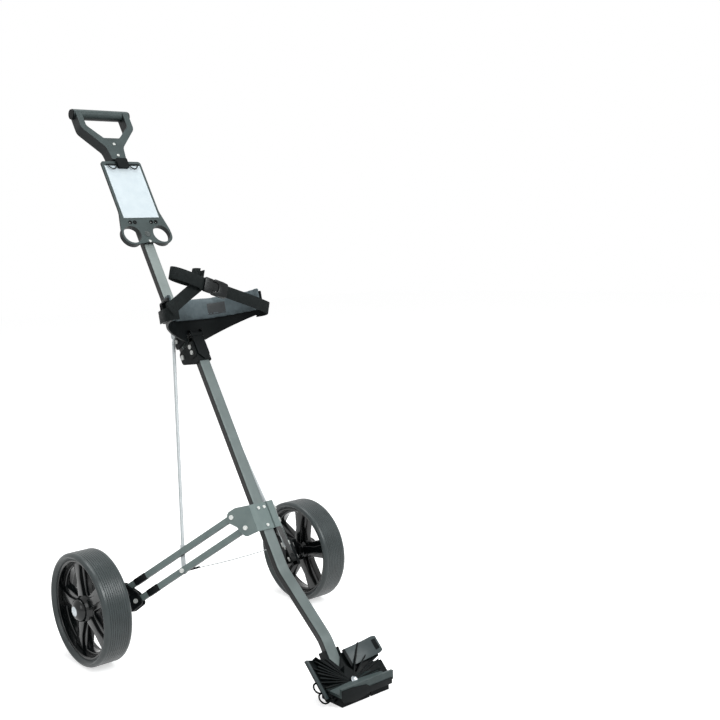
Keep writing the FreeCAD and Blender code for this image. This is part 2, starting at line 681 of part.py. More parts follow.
socket = Part.makeBox(s.tube_w + 2 * s.fit_gap, s.tube_d + 2 * s.fit_gap, s.upper_top - s.socket_low + 1.3,
                      Vector(-s.tube_w / 2 - s.fit_gap, -s.tube_d / 2 - s.fit_gap, s.socket_low - 1))
frame = frame.cut(socket)
for up in stem_bolts:
    frame = frame.cut(bore(0, -3 * s.tube_d, up, s.rivet_r + s.pin_gap, 6 * s.tube_d, Vector(0, 1, 0)))
node("handle_frame", free(frame), MAST)
caps = [pin("grip_half + fit_gap", "-handle_n", "grip_m", "grip_r - 1", 3, "x"),
        pin("-grip_half - fit_gap - 3", "-handle_n", "grip_m", "grip_r - 1", 3, "x")]
node("handle_caps", group(*caps), MAST)
handle_back = s.handle_t / 2 - s.handle_n
stem_pins = []
for up in stem_bolts:
    shank = pin(0, "-handle_n - handle_t / 2", up, "rivet_r", "handle_t", "y")
    head_a = pin(0, "-handle_n - handle_t / 2 - rivet_rise", up, "rivet_head", "rivet_rise", "y")
    head_b = pin(0, "-handle_n + handle_t / 2", up, "rivet_head", "rivet_rise", "y")
    stem_pins.append(joined(shank, head_a, head_b))
node("handle_bolts", group(*stem_pins), MAST)

# ---- card and ball holder on the mast's face
waist_m = s.tee_m + 27
lobe_high, lobe_low = s.ball_m + 10, s.ball_m - 19
lobe_x = s.ball_x + s.ball_r + s.ball_rim
holder = [(-s.card_half, s.card_top, 7), (-s.card_half, waist_m, 60), (0.5 - lobe_x, lobe_high, 30),
          (-lobe_x, lobe_low, 20), (-s.ball_x - 1, s.card_low - 3, 12), (0, s.card_low + 3, 20),
          (s.ball_x + 1, s.card_low - 3, 12), (lobe_x, lobe_low, 20), (lobe_x - 0.5, lobe_high, 30),
          (s.card_half, waist_m, 60), (s.card_half, s.card_top, 7)]
holes = [(side * s.ball_x, s.ball_m, s.ball_r) for side in (-1, 1)]
holes += [(x, s.tee_m, s.tee_r) for x in (-32.5, -21, 21, 32.5)]
plate = facing(prism(holder, s.card_t, holes, s.card_n - s.card_t))
for side in (-1, 1):
    rim = Part.makeCylinder(s.ball_r + s.ball_rim, s.ball_deep).cut(Part.makeCylinder(s.ball_r, s.ball_deep))
    rim = facing(rim)
    rim.translate(Vector(side * s.ball_x, -s.card_n + s.ball_deep, s.ball_m))
    plate = plate.fuse(rim)
seat_n = s.tube_d / 2
seat_low = s.ball_m - 11
plate = plate.fuse(Part.makeBox(s.tube_w, s.card_n - s.card_t - seat_n, s.card_top - 10 - seat_low,
                                Vector(-s.tube_w / 2, -s.card_n + s.card_t, seat_low)))
tube_space = Part.makeBox(s.tube_w + 2 * s.fit_gap, s.tube_d, 300,
                          Vector(-s.tube_w / 2 - s.fit_gap, -s.tube_d / 2, s.card_low - 50))
plate = plate.cut(tube_space)
node("card_plate", free(plate), MAST)
card = block("-card_sheet_half", "-card_n - 0.8", "card_top - 12 - card_sheet_h", "2 * card_sheet_half", 0.8,
             "card_sheet_h")
node("card_sheet", group(card), MAST)
clip_n = s.card_n + 4.4
clip_m = s.card_top - 11
wire_r = 1.3
clip_form = facing(prism([(-14, s.card_top - 20, 3), (14, s.card_top - 20, 3), (14, s.card_top + 4, 3),
                          (-14, s.card_top + 4, 3)], 7, (), s.card_n + 0.8))
clip_form = clip_form.cut(bore(-20, -clip_n, clip_m, wire_r + s.pin_gap, 40, Vector(1, 0, 0)))
node("card_clip_block", free(clip_form), MAST)
bar = bore(-42, -clip_n, clip_m, wire_r, 84, Vector(1, 0, 0))
for side in (-1, 1):
    a, b, c = (Vector(side * x, -clip_n, clip_m + up) for x, up in ((17, 0), (26, -11), (37, 0)))
    bow = Part.Wire([Part.Arc(a, b, c).toShape()])
    ring = Part.Wire([Part.makeCircle(wire_r - 0.1, a, bow.Edges[0].tangentAt(bow.Edges[0].FirstParameter))])
    bar = bar.fuse(bow.makePipeShell([ring], True, True))
node("card_clip_wire", free(bar), MAST)

# ---- wheel bracket: one pressed sheet with a ridge each side and swept wings
bracket_low = -s.bracket_top - s.bracket_h
face_n = s.lower_offset + s.tube_d / 2
ridge_n = face_n + s.sheet_t + s.ridge_rise
half_profile = [(0, face_n), (0, face_n + s.sheet_t), (s.ridge_in, face_n + s.sheet_t), (s.ridge_in + 1.5, ridge_n),
                (s.ridge_out, ridge_n), (s.ridge_out, ridge_n - s.sheet_t), (s.ridge_in + 2.5, ridge_n - s.sheet_t),
                (s.ridge_in + 1, face_n)]
center = prism([(x, -n) for x, n in half_profile], s.bracket_h)
center.translate(Vector(0, 0, bracket_low))
center = center.fuse(mirrorX(center))
for x, up in rivet_spots:
    center = center.cut(bore(x, -face_n - 9, up, s.rivet_r + s.pin_gap, 12, Vector(0, 1, 0)))
root_a = (0.0, 0.0)
root_b = (s.arm_step_a, s.arm_step_b)
# the wing's plate in the arm's frame; its inner edge lies along the ridge's outer bend
bend = (s.ridge_out - s.root_x) / math.cos(slope)


def onWing(square, up):
    """(square to the mast, up the mast) from the lower root, in the arm's own directions."""
    return (square * math.cos(fall) - up * math.sin(fall), square * math.sin(fall) + up * math.cos(fall))


top_edge = -s.bracket_top + s.root_drop
low_edge = bracket_low + s.root_drop
wing_form = prism([onWing(bend, low_edge), onWing(bend, top_edge), (root_b[0] - 16, root_b[1] + 12, 16),
                   (root_b[0] + 2, root_b[1] + 12.5, 9), (root_b[0] + 13, root_b[1] - 2, 9), (root_b[0] - 1, 8, 7),
                   (15, 2, 9), (8, -16, 9)], s.sheet_t, [(x, y, s.arm_bolt + s.pin_gap) for x, y in (root_a, root_b)],
                  -s.sheet_t)
wing_form.Placement = ARM_LOCAL.multiply(wing_form.Placement)
bracket = center.fuse(wing_form).fuse(mirrorX(wing_form))
node("wheel_bracket", free(bracket), MAST)
rivets = []
for x, up in rivet_spots:
    head = pin(x, "-lower_offset - tube_d / 2 - sheet_t - rivet_rise", up, "rivet_head", "rivet_rise", "y")
    shank = pin(x, "-lower_offset - tube_d / 2 - sheet_t", up, "rivet_r", "sheet_t + tube_wall + 1", "y")
    rivets.append(joined(head, shank))
node("wheel_bracket_rivets", group(*rivets), MAST)

# ---- arms: two parallel tubes each side, in the plane of the wing
arm_back = "sheet_t + fit_gap"


def armTube(x, y, extra_hole=None):
    out = block(x + " - arm_over", y + " - arm_h / 2", "-(%s) - arm_t" % arm_back, "arm_len + 2 * arm_over", "arm_h", "arm_t")
    hollow = block(x + " - arm_over - 1", y + " - arm_h / 2 + arm_wall", "-(%s) - arm_t + arm_wall" % arm_back,
                   "arm_len + 2 * arm_over + 2", "arm_h - 2 * arm_wall", "arm_t - 2 * arm_wall")
    spots = [x, x + " + arm_len"] + ([extra_hole] if extra_hole else [])
    return cut(out, hollow, *[pin(spot, y, "-30", "arm_bolt + pin_gap", 40) for spot in spots])


def armBolt(x, y, top, bottom):
    """Bolt square to the wing: head in front at top, nut behind at bottom (both below the wing's face)."""
    head = pin(x, y, top, "head_r", "head_t")
    shank = pin(x, y, bottom, "arm_bolt", "(%s) - (%s)" % (top, bottom))
    nut = hexNut(x, y, "%s - nut_t" % bottom, "head_r + 0.4", "nut_t")
    return joined(head, shank, nut)


arm_rear = "-(%s) - arm_t" % arm_back
both("arm_lower", armTube("0", "0", "strut_at"), ARM)
both("arm_upper", armTube("arm_step_a", "arm_step_b"), ARM)
both("arm_root_bolts", group(armBolt("0", "0", "0", arm_rear), armBolt("arm_step_a", "arm_step_b", "0", arm_rear)), ARM)
strut_back = "%s - fit_gap - strut_eye_t - fit_gap" % arm_rear
both("push_rod_bolt", armBolt("strut_at", "0", "-(%s)" % arm_back, strut_back), ARM)

# ---- push rods: from the lower arms to the fold bracket
strut_foot = MAST.inverse().multiply(ARM).multVec(Vector(s.strut_at, 0, -(s.sheet_t + s.fit_gap) - s.arm_t
                                                        - s.fit_gap - s.strut_eye_t / 2))
strut_head = Vector(s.strut_x, -s.strut_n, s.strut_m)
run = (strut_head - strut_foot).normalize()
span = (strut_head - strut_foot).Length
blade_len = (s.arm_step_b + s.arm_h / 2) / abs(run.dot(armUp)) + s.strut_r
neck_len = 3 * s.strut_r + 3
strut = Part.makeCylinder(s.strut_r, span - blade_len - neck_len, strut_foot + run * blade_len, run)
strut = strut.fuse(Part.makeCone(s.strut_eye_t / 2, s.strut_r, neck_len - 4, strut_head - run * 4, -run))
flat = run - armOut * run.dot(armOut)
side_dir = flat.normalize().cross(armOut) * (s.strut_r * 1.3)
start = strut_foot + armOut * (s.strut_eye_t / 2)
finish = start + flat * (blade_len + 4)
blade = Part.Face(Part.makePolygon([start - side_dir, finish - side_dir, finish + side_dir, start + side_dir,
                                    start - side_dir])).extrude(-armOut * s.strut_eye_t)
strut = strut.fuse(blade)
foot_eye = Part.makeCylinder(s.strut_eye_r, s.strut_eye_t, strut_foot - armOut * (s.strut_eye_t / 2), armOut)
head_eye = Part.makeCylinder(s.strut_eye_r, s.strut_eye_t, strut_head - Vector(s.strut_eye_t / 2, 0, 0), Vector(1, 0, 0))
strut = strut.fuse(foot_eye).fuse(head_eye)
strut = strut.cut(Part.makeCylinder(s.arm_bolt + s.pin_gap, 20, strut_foot - armOut * 10, armOut))
both("push_rod", free(strut.removeSplitter()), MAST)

# ---- tie wire between the two lower arms
wire_ends = strut_foot - armOut * (s.strut_eye_t / 2 + s.fit_gap + s.nut_t)
wire_half = wire_ends.x - s.wire_sleeve_r * abs(armOut.y / armOut.x) - s.fit_gap
wire_back = wire_ends.y
wire_up = wire_ends.z
wire = bore(-wire_half, wire_back, wire_up, s.wire_r, 2 * wire_half, Vector(1, 0, 0))
node("tie_wire", free(wire), MAST)
sleeve = bore(wire_half - s.wire_sleeve_len, wire_back, wire_up, s.wire_sleeve_r, s.wire_sleeve_len, Vector(1, 0, 0))
sleeve = sleeve.cut(bore(0, wire_back, wire_up, s.wire_r + s.pin_gap, wire_half + 1, Vector(1, 0, 0)))
node("tie_wire_sleeves", free(Part.makeCompound([sleeve, mirrorX(sleeve)])), MAST)

# ---- axle brackets: a clevis on the arms' ends that runs into a block round the stub axle
front_face = s.clevis_wall - s.sheet_t
rear_inner = -(s.sheet_t + 2 * s.fit_gap + s.arm_t)
rear_face = rear_inner - s.clevis_wall
outer_a = (s.arm_len, 0.0)
outer_b = (s.arm_len + s.arm_step_a, s.arm_step_b)
cheek = [(outer_a[0] - 11, -12, 7), (outer_a[0] + 16, -14, 4), (outer_a[0] + 54, 2, 4), (outer_a[0] + 54, 60, 4),
         (outer_b[0] + 12, 52, 6), (outer_b[0] - 9, 47, 9), (outer_a[0] - 12, 12, 9)]
web_form = [(outer_a[0] + 12, -13.5), (outer_a[0] + 54, 2), (outer_a[0] + 54, 60), (outer_b[0] + 12, 51.5)]


def inArm(shape):
    shape.Placement = ARM.multiply(shape.Placement)
    return shape


clevis = inArm(prism(cheek, s.clevis_wall, (), -s.sheet_t))
clevis = clevis.fuse(inArm(prism(cheek, s.clevis_wall, (), rear_face)))
clevis = clevis.fuse(inArm(prism(web_form, -rear_face + front_face, (), rear_face)))
body = Part.makeBox(s.block_w, s.block_front + s.block_rear, s.block_up + s.block_down,
                    Vector(s.block_in, s.axle_y - s.block_front, s.wheel_radius - s.block_down))
body = body.makeFillet(4.0, [e for e in body.Edges if abs(e.tangentAt(e.FirstParameter).x) > 0.9])
clevis = clevis.fuse(body)
rim_side = s.block_in + s.block_w
clevis = clevis.cut(Part.makeBox(200, 400, 400, Vector(rim_side, s.axle_y - 200, s.wheel_radius - 200)))
hub_in = (s.track - s.hub_w) / 2
boss_len = hub_in - s.fit_gap - s.block_in
clevis = clevis.fuse(bore(s.block_in, s.axle_y, s.wheel_radius, s.boss_radius, boss_len, Vector(1, 0, 0)))
# the arms' ends turn in this slot
turning = math.hypot(s.arm_over, s.arm_h / 2) + 0.9
slot_depth = s.arm_t + 2 * s.fit_gap
slot = prism([(outer_a[0] - 60, -30), (outer_a[0], -30), (outer_a[0] + 1, 0), (outer_b[0], outer_b[1]),
              (outer_b[0] + 2, 90), (outer_a[0] - 60, 90)], slot_depth, (), rear_inner)
for x, y in (outer_a, outer_b):
    slot = slot.fuse(Part.makeCylinder(turning, slot_depth, Vector(x, y, rear_inner)))
clevis = clevis.cut(inArm(slot))
for x, y in (outer_a, outer_b):
    clevis = clevis.cut(inArm(Part.makeCylinder(s.arm_bolt + s.pin_gap, 60, Vector(x, y, -40))))
clevis = clevis.cut(bore(s.axle_in - s.pin_gap, s.axle_y, s.wheel_radius, s.axle_radius + s.pin_gap, 90, Vector(1, 0, 0)))
catch_slot = Part.makeBox(s.catch_t + 4 * s.pin_gap, s.catch_w + 4 * s.pin_gap, s.block_down + 2,
                          Vector(s.catch_in - 2 * s.pin_gap, s.axle_y - s.catch_w / 2 - 2 * s.pin_gap,
                                 s.wheel_radius - s.block_down - 2))
clevis = clevis.cut(catch_slot)
both("axle_bracket", free(clevis))
both("axle_bolts", group(armBolt("arm_len", "0", "clevis_wall - sheet_t",
                                 "-(sheet_t + 2 * fit_gap + arm_t + clevis_wall)"),
                         armBolt("arm_len + arm_step_a", "arm_step_b", "clevis_wall - sheet_t",
                                 "-(sheet_t + 2 * fit_gap + arm_t + clevis_wall)")), ARM)

axle_len = "track / 2 + hub_w / 2 + axle_out - axle_in"
groove = cut(pin("catch_in - 2 * pin_gap", "axle_y", "wheel_radius", "axle_radius + 1", "catch_t + 4 * pin_gap", "x"),
             pin("catch_in - 1", "axle_y", "wheel_radius", "groove_r", "catch_t + 2", "x"))
both("stub_axle", cut(pin("axle_in", "axle_y", "wheel_radius", "axle_radius", axle_len, "x"), groove))
both("catch", group(block("catch_in", "axle_y - catch_w / 2", "wheel_radius - catch_down", "catch_t", "catch_w",
                          "catch_down - groove_r - pin_gap")))

# ---- wheels, each about its own centre with x outward
tyre_out = rounded(pin("-tyre_w / 2", 0, 0, "wheel_radius", "tyre_w", "x"), s.shoulder, (1, 3))
tyre_in = pin("-tyre_w / 2 - 1", 0, 0, "wheel_radius - tyre_depth", "tyre_w + 2", "x")


def dishCone(x, small_at_start):
    """Sloping recess of a sidewall."""
    cone = doc.addObject("Part::Cone", "Recess")
    wide = "wheel_radius - shoulder + 1.5"
    narrow = "wheel_radius - tyre_depth"
    bind(cone, Radius1=narrow if small_at_start else wide, Radius2=wide if small_at_start else narrow,
         Height="rim_lip")
    cone.Placement = Placement(Vector(), Rotation(Vector(0, 1, 0), 90))
    return put(cone, x, 0, 0)


tyre = cut(tyre_out, tyre_in, dishCone("tyre_w / 2 - rim_lip", True), dishCone("-tyre_w / 2", False))

barrel = cut(pin("-tyre_w / 2 + rim_lip", 0, 0, "wheel_radius - tyre_depth - fit_gap", "tyre_w - 2 * rim_lip", "x"),
             pin("-tyre_w / 2", 0, 0, "wheel_radius - tyre_depth - fit_gap - rim_wall", "tyre_w", "x"))
disc = pin("-spoke_thick / 2", 0, 0, "wheel_radius - tyre_depth - fit_gap - rim_wall / 2", "spoke_thick", "x")
pieces = [barrel, disc, pin("-hub_w / 2", 0, 0, "hub_radius", "hub_w", "x")]
ribs = int(s.spoke_count)
inside = s.wheel_radius - s.tyre_depth - s.fit_gap - s.rim_wall
for i in range(ribs):
    rib = block("-spoke_thick / 2 - 4", "hub_radius - 2", "-spoke_rib / 2", "spoke_thick + 8",
                "wheel_radius - tyre_depth - rim_wall - hub_radius", "spoke_rib")
    turned = group(rib)
    turned.Placement = Placement(Vector(), Rotation(Vector(1, 0, 0), 360 * (i + 0.5) / ribs))
    pieces.append(turned)
step = math.pi / ribs
near = s.hub_radius + 14
far = inside - 6
near_half = near * math.tan(step) - s.spoke_w / 2 / math.cos(step)
far_half = far * math.tan(step) * 0.8 - s.spoke_w / 2 / math.cos(step)
window_form = prism([(near, -max(near_half, 3), 2.5), (far - 8, -far_half, 12), (far, 0, 60), (far - 8, far_half, 12),
                     (near, max(near_half, 3), 2.5)], s.tyre_w, (), -s.tyre_w / 2)
window_form.Placement = Placement(Vector(), Rotation(Vector(1, 1, 1), 120)).multiply(window_form.Placement)
windows = []
for i in range(ribs):
    window_i = free(window_form)
    window_i.Placement = Placement(Vector(), Rotation(Vector(1, 0, 0), 360 * i / ribs)).multiply(window_form.Placement)
    windows.append(window_i)
rim = cut(joined(*pieces), pin("-tyre_w", 0, 0, "axle_radius + pin_gap", "2 * tyre_w", "x"), *windows)
cap_len = "axle_out + fit_gap + cap_thick"
cap = cut(pin("hub_w / 2", 0, 0, "cap_radius", cap_len, "x"),
          pin("hub_w / 2 - 1", 0, 0, "axle_radius + 2", "axle_out + fit_gap + 1", "x"))


def wheelPiece(name, piece):
    """A piece of a wheel at both wheels; the left one is turned about so that x stays outward."""
    for side, sign, turn in (("right", 1, s.right_turn), ("left", -1, s.left_turn)):
        holder_i = doc.addObject("Part::Compound", "Wheel")
        holder_i.Links = [piece]
        facing_out = Rotation() if sign > 0 else Rotation(Vector(0, 0, 1), 180)
        holder_i.Placement = Placement(Vector(), Rotation(Vector(1, 0, 0), turn).multiply(facing_out))
        put(holder_i, "%d * track / 2" % sign, "axle_y", "wheel_radius")
        node("%s_%s" % (name, side), holder_i)


wheelPiece("tyre", tyre)
wheelPiece("rim", rim)
wheelPiece("hub_cap", cap)

# ---- resting foot: dish for the bag's bottom, ledge, pads, elastic loops
# frame of the dish: z up its slope, y back from its face
DISH = Placement(Vector(0, s.dish_y, s.dish_z), Rotation(Vector(1, 0, 0), s.dish_tilt - 90))
sag = s.dish_r - math.sqrt(s.dish_r ** 2 - s.dish_half ** 2)
arc_half = math.degrees(math.asin(s.dish_half / s.dish_r))
dish_center = s.dish_r - sag
shell = ringPart(s.dish_r, s.dish_r + s.dish_t, 0, s.dish_len, arc_half, dish_center)
outline = [(-s.dish_half - 9, 2), (-18, -3), (18, -3), (s.dish_half + 9, 2), (s.dish_half + 9, 36), (s.dish_half - 14, 43),
           (s.dish_half + 9, 50), (s.dish_half + 9, s.dish_len - 16), (s.dish_half - 4, s.dish_len, 6),
           (15, s.dish_len - 4, 2), (0, 56, 2), (-15, s.dish_len - 4, 2), (-s.dish_half - 9, s.dish_len, 6)]
shell = shell.common(facing(prism(outline, 200, (), -100)))
badge_y = 6.0
badge_z = 22.0
keep = Part.makeCylinder(s.dish_r + 2, 300, Vector(0, -dish_center, -100))
for turn in (-8, 14, 33, 50):
    for side in (-1, 1):
        along = Vector(side * math.cos(math.radians(turn)), 0, math.sin(math.radians(turn)))
        reach_i = (s.dish_half - 3) / abs(along.x)
        start = Vector(0, badge_y, badge_z)
        end = start + along * reach_i - Vector(0, badge_y - 1, 0)
        corners = [start, end, end + Vector(0, 7, 0), start + Vector(0, 24, 0), start]
        fin = Part.Face(Part.makePolygon(corners)).extrude(along.cross(Vector(0, 1, 0)) * 2.2)
        fin = fin.common(keep).common(facing(prism([(-s.dish_half, 2), (s.dish_half, 2), (s.dish_half, s.dish_len),
                                                    (-s.dish_half, s.dish_len)], 200, (), -100)))
        shell = shell.fuse(fin)
nose = facing(prism([(-11, 6, 3), (11, 6, 3), (15, 34, 3), (0, 56, 2), (-15, 34, 3)], sag + 4 - badge_y, (), -sag - 4))
shell = shell.fuse(nose)
shell.Placement = DISH.multiply(shell.Placement)
foot_back = ankle[0]
sleeve_wall = 4.0
sleeve_w = s.tube_w / 2 + s.fit_gap + sleeve_wall
sleeve_d = s.tube_d / 2 + s.fit_gap + sleeve_wall
holder_f = Part.makeBox(2 * sleeve_w, 2 * sleeve_d - 4, 62, Vector(-sleeve_w, foot_back - sleeve_d + 4, toe[1] - 5))
holder_f.Placement = MAST.multiply(holder_f.Placement)
shell = shell.fuse(holder_f)
tube_room = Part.makeBox(s.tube_w + 2 * s.fit_gap, s.tube_d + 2 * s.fit_gap, 160,
                         Vector(-s.tube_w / 2 - s.fit_gap, foot_back - s.tube_d / 2 - s.fit_gap, toe[1] - s.fit_gap))
tube_room.Placement = MAST.multiply(tube_room.Placement)
shell = shell.cut(tube_room)
shell = shell.cut(Part.makeBox(400, 400, 100, Vector(-200, -200, s.dish_z - 100)))
shelf_room = Part.makeBox(2 * s.foot_half + 2 * s.fit_gap, 400, s.ledge_low + s.ledge_t - s.dish_z,
                          Vector(-s.foot_half - s.fit_gap, -s.ledge_front - 100, s.dish_z))
lip_room = Part.makeBox(2 * s.foot_half + 2 * s.fit_gap, 100 + s.ledge_t, 100,
                        Vector(-s.foot_half - s.fit_gap, -s.ledge_front - 100, s.dish_z))
dish_front = s.pad_reach
shell = shell.cut(shelf_room.common(Part.makeBox(400, 400, 400, Vector(-200, dish_front - 400, -100)))).cut(lip_room)
node("base_cradle", free(shell.removeSplitter()))
shelf = block("-foot_half", "-ledge_front", "ledge_low", "2 * foot_half", "ledge_front + pad_reach", "ledge_t")
lip = block("-foot_half", "-ledge_front", "ledge_low", "2 * foot_half", "ledge_t", "ledge_h")
node("base_ledge", joined(shelf, lip))
left_pad = block("-pad_half", "-pad_reach", 0, "pad_half + pad_split", "2 * pad_reach", "ledge_low")
right_pad = block("pad_split + pad_slit", "-pad_reach", 0, "pad_half - pad_split - pad_slit", "2 * pad_reach",
                  "ledge_low")
node("base_feet", group(left_pad, right_pad))
loops = []
for low in (4.0, 24.0):
    a = Vector(-s.dish_half + 2, 3, low)
    b = Vector(-s.dish_half - 9, 3, low + 7)
    c = Vector(-s.dish_half + 2, 3, low + 14)
    bow = Part.Wire([Part.Arc(a, b, c).toShape()])
    ring = Part.Wire([Part.makeCircle(s.cord_r, a, bow.Edges[0].tangentAt(bow.Edges[0].FirstParameter))])
    cord = bow.makePipeShell([ring], True, True)
    cord.Placement = DISH.multiply(cord.Placement)
    outside = cord.cut(shell)
    loops.append(max(outside.Solids, key=lambda solid: solid.Volume))
node("base_elastic_loops", free(Part.makeCompound(loops)))

# ---- checks, then one file for each node
doc.recompute()
for obj in doc.Objects:
    if "Invalid" in obj.State or "Error" in obj.State:
        raise RuntimeError("%s did not build: %s" % (obj.Label, obj.State))
for piece in nodes:
    shape = piece.Shape
    if shape.isNull() or not shape.isValid() or not shape.Solids:
        raise RuntimeError("%s has no valid solid" % piece.Label)
for piece in nodes:
    piece.Shape.exportStep("parts/%s.step" % piece.Label)
print("%d nodes" % len(nodes))
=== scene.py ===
import bpy
import json
import math
from mathutils import Matrix, Vector


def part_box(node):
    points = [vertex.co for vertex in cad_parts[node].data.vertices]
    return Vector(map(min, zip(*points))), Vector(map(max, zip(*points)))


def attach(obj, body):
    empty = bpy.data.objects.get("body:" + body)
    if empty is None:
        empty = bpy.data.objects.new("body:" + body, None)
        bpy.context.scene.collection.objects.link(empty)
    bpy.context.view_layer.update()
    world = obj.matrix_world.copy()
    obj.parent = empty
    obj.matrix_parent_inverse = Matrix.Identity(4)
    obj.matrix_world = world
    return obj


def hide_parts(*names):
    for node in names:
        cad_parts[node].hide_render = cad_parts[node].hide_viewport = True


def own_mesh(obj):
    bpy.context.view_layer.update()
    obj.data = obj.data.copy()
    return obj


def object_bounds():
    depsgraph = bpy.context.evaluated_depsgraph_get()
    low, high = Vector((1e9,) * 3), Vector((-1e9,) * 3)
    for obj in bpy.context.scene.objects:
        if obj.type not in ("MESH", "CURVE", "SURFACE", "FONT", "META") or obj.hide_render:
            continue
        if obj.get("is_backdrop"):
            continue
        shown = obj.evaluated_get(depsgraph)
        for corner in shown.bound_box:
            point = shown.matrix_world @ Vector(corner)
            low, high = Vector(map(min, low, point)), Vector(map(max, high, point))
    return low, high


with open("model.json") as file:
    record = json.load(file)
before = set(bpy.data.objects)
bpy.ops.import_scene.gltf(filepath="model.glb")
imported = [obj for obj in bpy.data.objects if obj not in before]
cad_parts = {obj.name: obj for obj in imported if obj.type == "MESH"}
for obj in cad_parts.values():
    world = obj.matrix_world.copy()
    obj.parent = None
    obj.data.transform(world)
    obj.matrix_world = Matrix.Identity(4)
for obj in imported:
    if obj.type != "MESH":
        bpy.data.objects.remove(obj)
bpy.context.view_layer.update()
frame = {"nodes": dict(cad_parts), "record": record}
scene = bpy.context.scene
nodes = frame["nodes"]


def mm(*values):
    return Vector([v / 1000 for v in values])


# camera, floor and light
cameraSettings = {"place": (-1.2178, -1.3135, 0.8068), "azimuth": -37.41, "elevation": 8.24, "roll": -2.48,
                  "lens": 51.58, "shift": (0.1528, 0.0556)}


def makeCamera(settings):
    bpy.ops.object.camera_add(location=settings["place"])
    camera = bpy.context.object
    turn, lift, roll = (math.radians(settings[k]) for k in ("azimuth", "elevation", "roll"))
    back = Vector((math.sin(turn) * math.cos(lift), -math.cos(turn) * math.cos(lift), math.sin(lift)))
    levelRight = (-back).cross(Vector((0, 0, 1))).normalized()
    levelUp = levelRight.cross(-back)
    right = levelRight * math.cos(roll) + levelUp * math.sin(roll)
    up = levelUp * math.cos(roll) - levelRight * math.sin(roll)
    camera.matrix_world = Matrix.LocRotScale(
        Vector(settings["place"]), Matrix((right, up, back)).transposed().to_quaternion(), None)
    camera.data.lens = settings["lens"]
    camera.data.shift_x, camera.data.shift_y = settings["shift"]
    scene.camera = camera


makeCamera(cameraSettings)
print("camera placed")

lampSettings = {
    "key": {"place": (0.9, -2.6, 3.0), "aim": (0.0, 0.3, 0.5), "size": 1.6, "power": 95},
    "side": {"place": (-3.2, -1.2, 2.2), "aim": (0.0, 0.3, 0.4), "size": 1.8, "power": 22},
    "top": {"place": (0.0, 0.9, 3.4), "aim": (0.0, 0.2, 0.3), "size": 2.0, "power": 45},
}
for lampName, lamp in lampSettings.items():
    aim = Vector(lamp["aim"]) - Vector(lamp["place"])
    turned = aim.to_track_quat("-Z", "Y").to_euler()
    bpy.ops.object.light_add(type="AREA", location=lamp["place"], rotation=turned)
    light = bpy.context.object
    light.name = lampName + "Lamp"
    light.data.size = lamp["size"]
    light.data.energy = lamp["power"]
    light.data.color = (0.97, 1.0, 1.0)



# the rays that see the plain background: straight from the camera, mirrored or passed through
def backgroundRays(tree):
    path = tree.nodes.new("ShaderNodeLightPath")
    joined = path.outputs["Is Camera Ray"]
    for word in ("Is Glossy Ray", "Is Transmission Ray"):
        either = tree.nodes.new("ShaderNodeMath")
        either.operation = "MAXIMUM"
        tree.links.new(joined, either.inputs[0])
        tree.links.new(path.outputs[word], either.inputs[1])
        joined = either.outputs[0]
    return joined


# a white sky to look at, and a softer one, darker below, that lights the trolley
skySettings = {"seen": 1.0, "low": 0.12, "high": 0.55, "lowest": -0.2}


def makeSky(settings):
    world = bpy.data.worlds.new("studio")
    scene.world = world
    world.use_nodes = True
    tree = world.node_tree
    tree.nodes.clear()
    out = tree.nodes.new("ShaderNodeOutputWorld")
    mix = tree.nodes.new("ShaderNodeMixShader")
    seen, lit = (tree.nodes.new("ShaderNodeBackground") for i in range(2))
    for sky in (seen, lit):
        sky.inputs["Color"].default_value = (1, 1, 1, 1)
    seen.inputs["Strength"].default_value = settings["seen"]
    place = tree.nodes.new("ShaderNodeTexCoord")
    split = tree.nodes.new("ShaderNodeSeparateXYZ")
    ramp = tree.nodes.new("ShaderNodeMapRange")
    for word, key in (("From Min", "lowest"), ("To Min", "low"), ("To Max", "high")):
        ramp.inputs[word].default_value = settings[key]
    tree.links.new(place.outputs["Generated"], split.inputs[0])
    tree.links.new(split.outputs["Z"], ramp.inputs["Value"])
    tree.links.new(ramp.outputs["Result"], lit.inputs["Strength"])
    tree.links.new(backgroundRays(tree), mix.inputs[0])
    tree.links.new(lit.outputs[0], mix.inputs[1])
    tree.links.new(seen.outputs[0], mix.inputs[2])
    tree.links.new(mix.outputs[0], out.inputs[0])


# floor: pale and glowing a little where it is seen, darker where it throws light back
floorSettings = {"half": 12.0, "below": 0.0005, "color": (0.86, 0.86, 0.86, 1),
                 "bounce": (0.30, 0.30, 0.30, 1), "glow": 0.62}


def makeFloor(settings):
    bpy.ops.mesh.primitive_plane_add(size=2 * settings["half"], location=(0, 0, -settings["below"]))
    floor = bpy.context.object
    floor.name = "studioFloor"
    material = bpy.data.materials.new("studioFloorPaint")
    material.use_nodes = True
    tree = material.node_tree
    tree.nodes.clear()
    out = tree.nodes.new("ShaderNodeOutputMaterial")
    mix = tree.nodes.new("ShaderNodeMixShader")
    lifted = tree.nodes.new("ShaderNodeAddShader")
    seen, bounce = (tree.nodes.new("ShaderNodeBsdfDiffuse") for i in range(2))
    glow = tree.nodes.new("ShaderNodeEmission")
    seen.inputs["Color"].default_value = settings["color"]
    bounce.inputs["Color"].default_value = settings["bounce"]
    glow.inputs["Strength"].default_value = settings["glow"]
    tree.links.new(seen.outputs[0], lifted.inputs[0])
    tree.links.new(glow.outputs[0], lifted.inputs[1])
    tree.links.new(backgroundRays(tree), mix.inputs[0])
    tree.links.new(bounce.outputs[0], mix.inputs[1])
    tree.links.new(lifted.outputs[0], mix.inputs[2])
    tree.links.new(mix.outputs[0], out.inputs[0])
    floor.data.materials.append(material)
    floor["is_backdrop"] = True


scene.view_settings.view_transform = "Standard"
makeSky(skySettings)
makeFloor(floorSettings)
print("floor and light set")


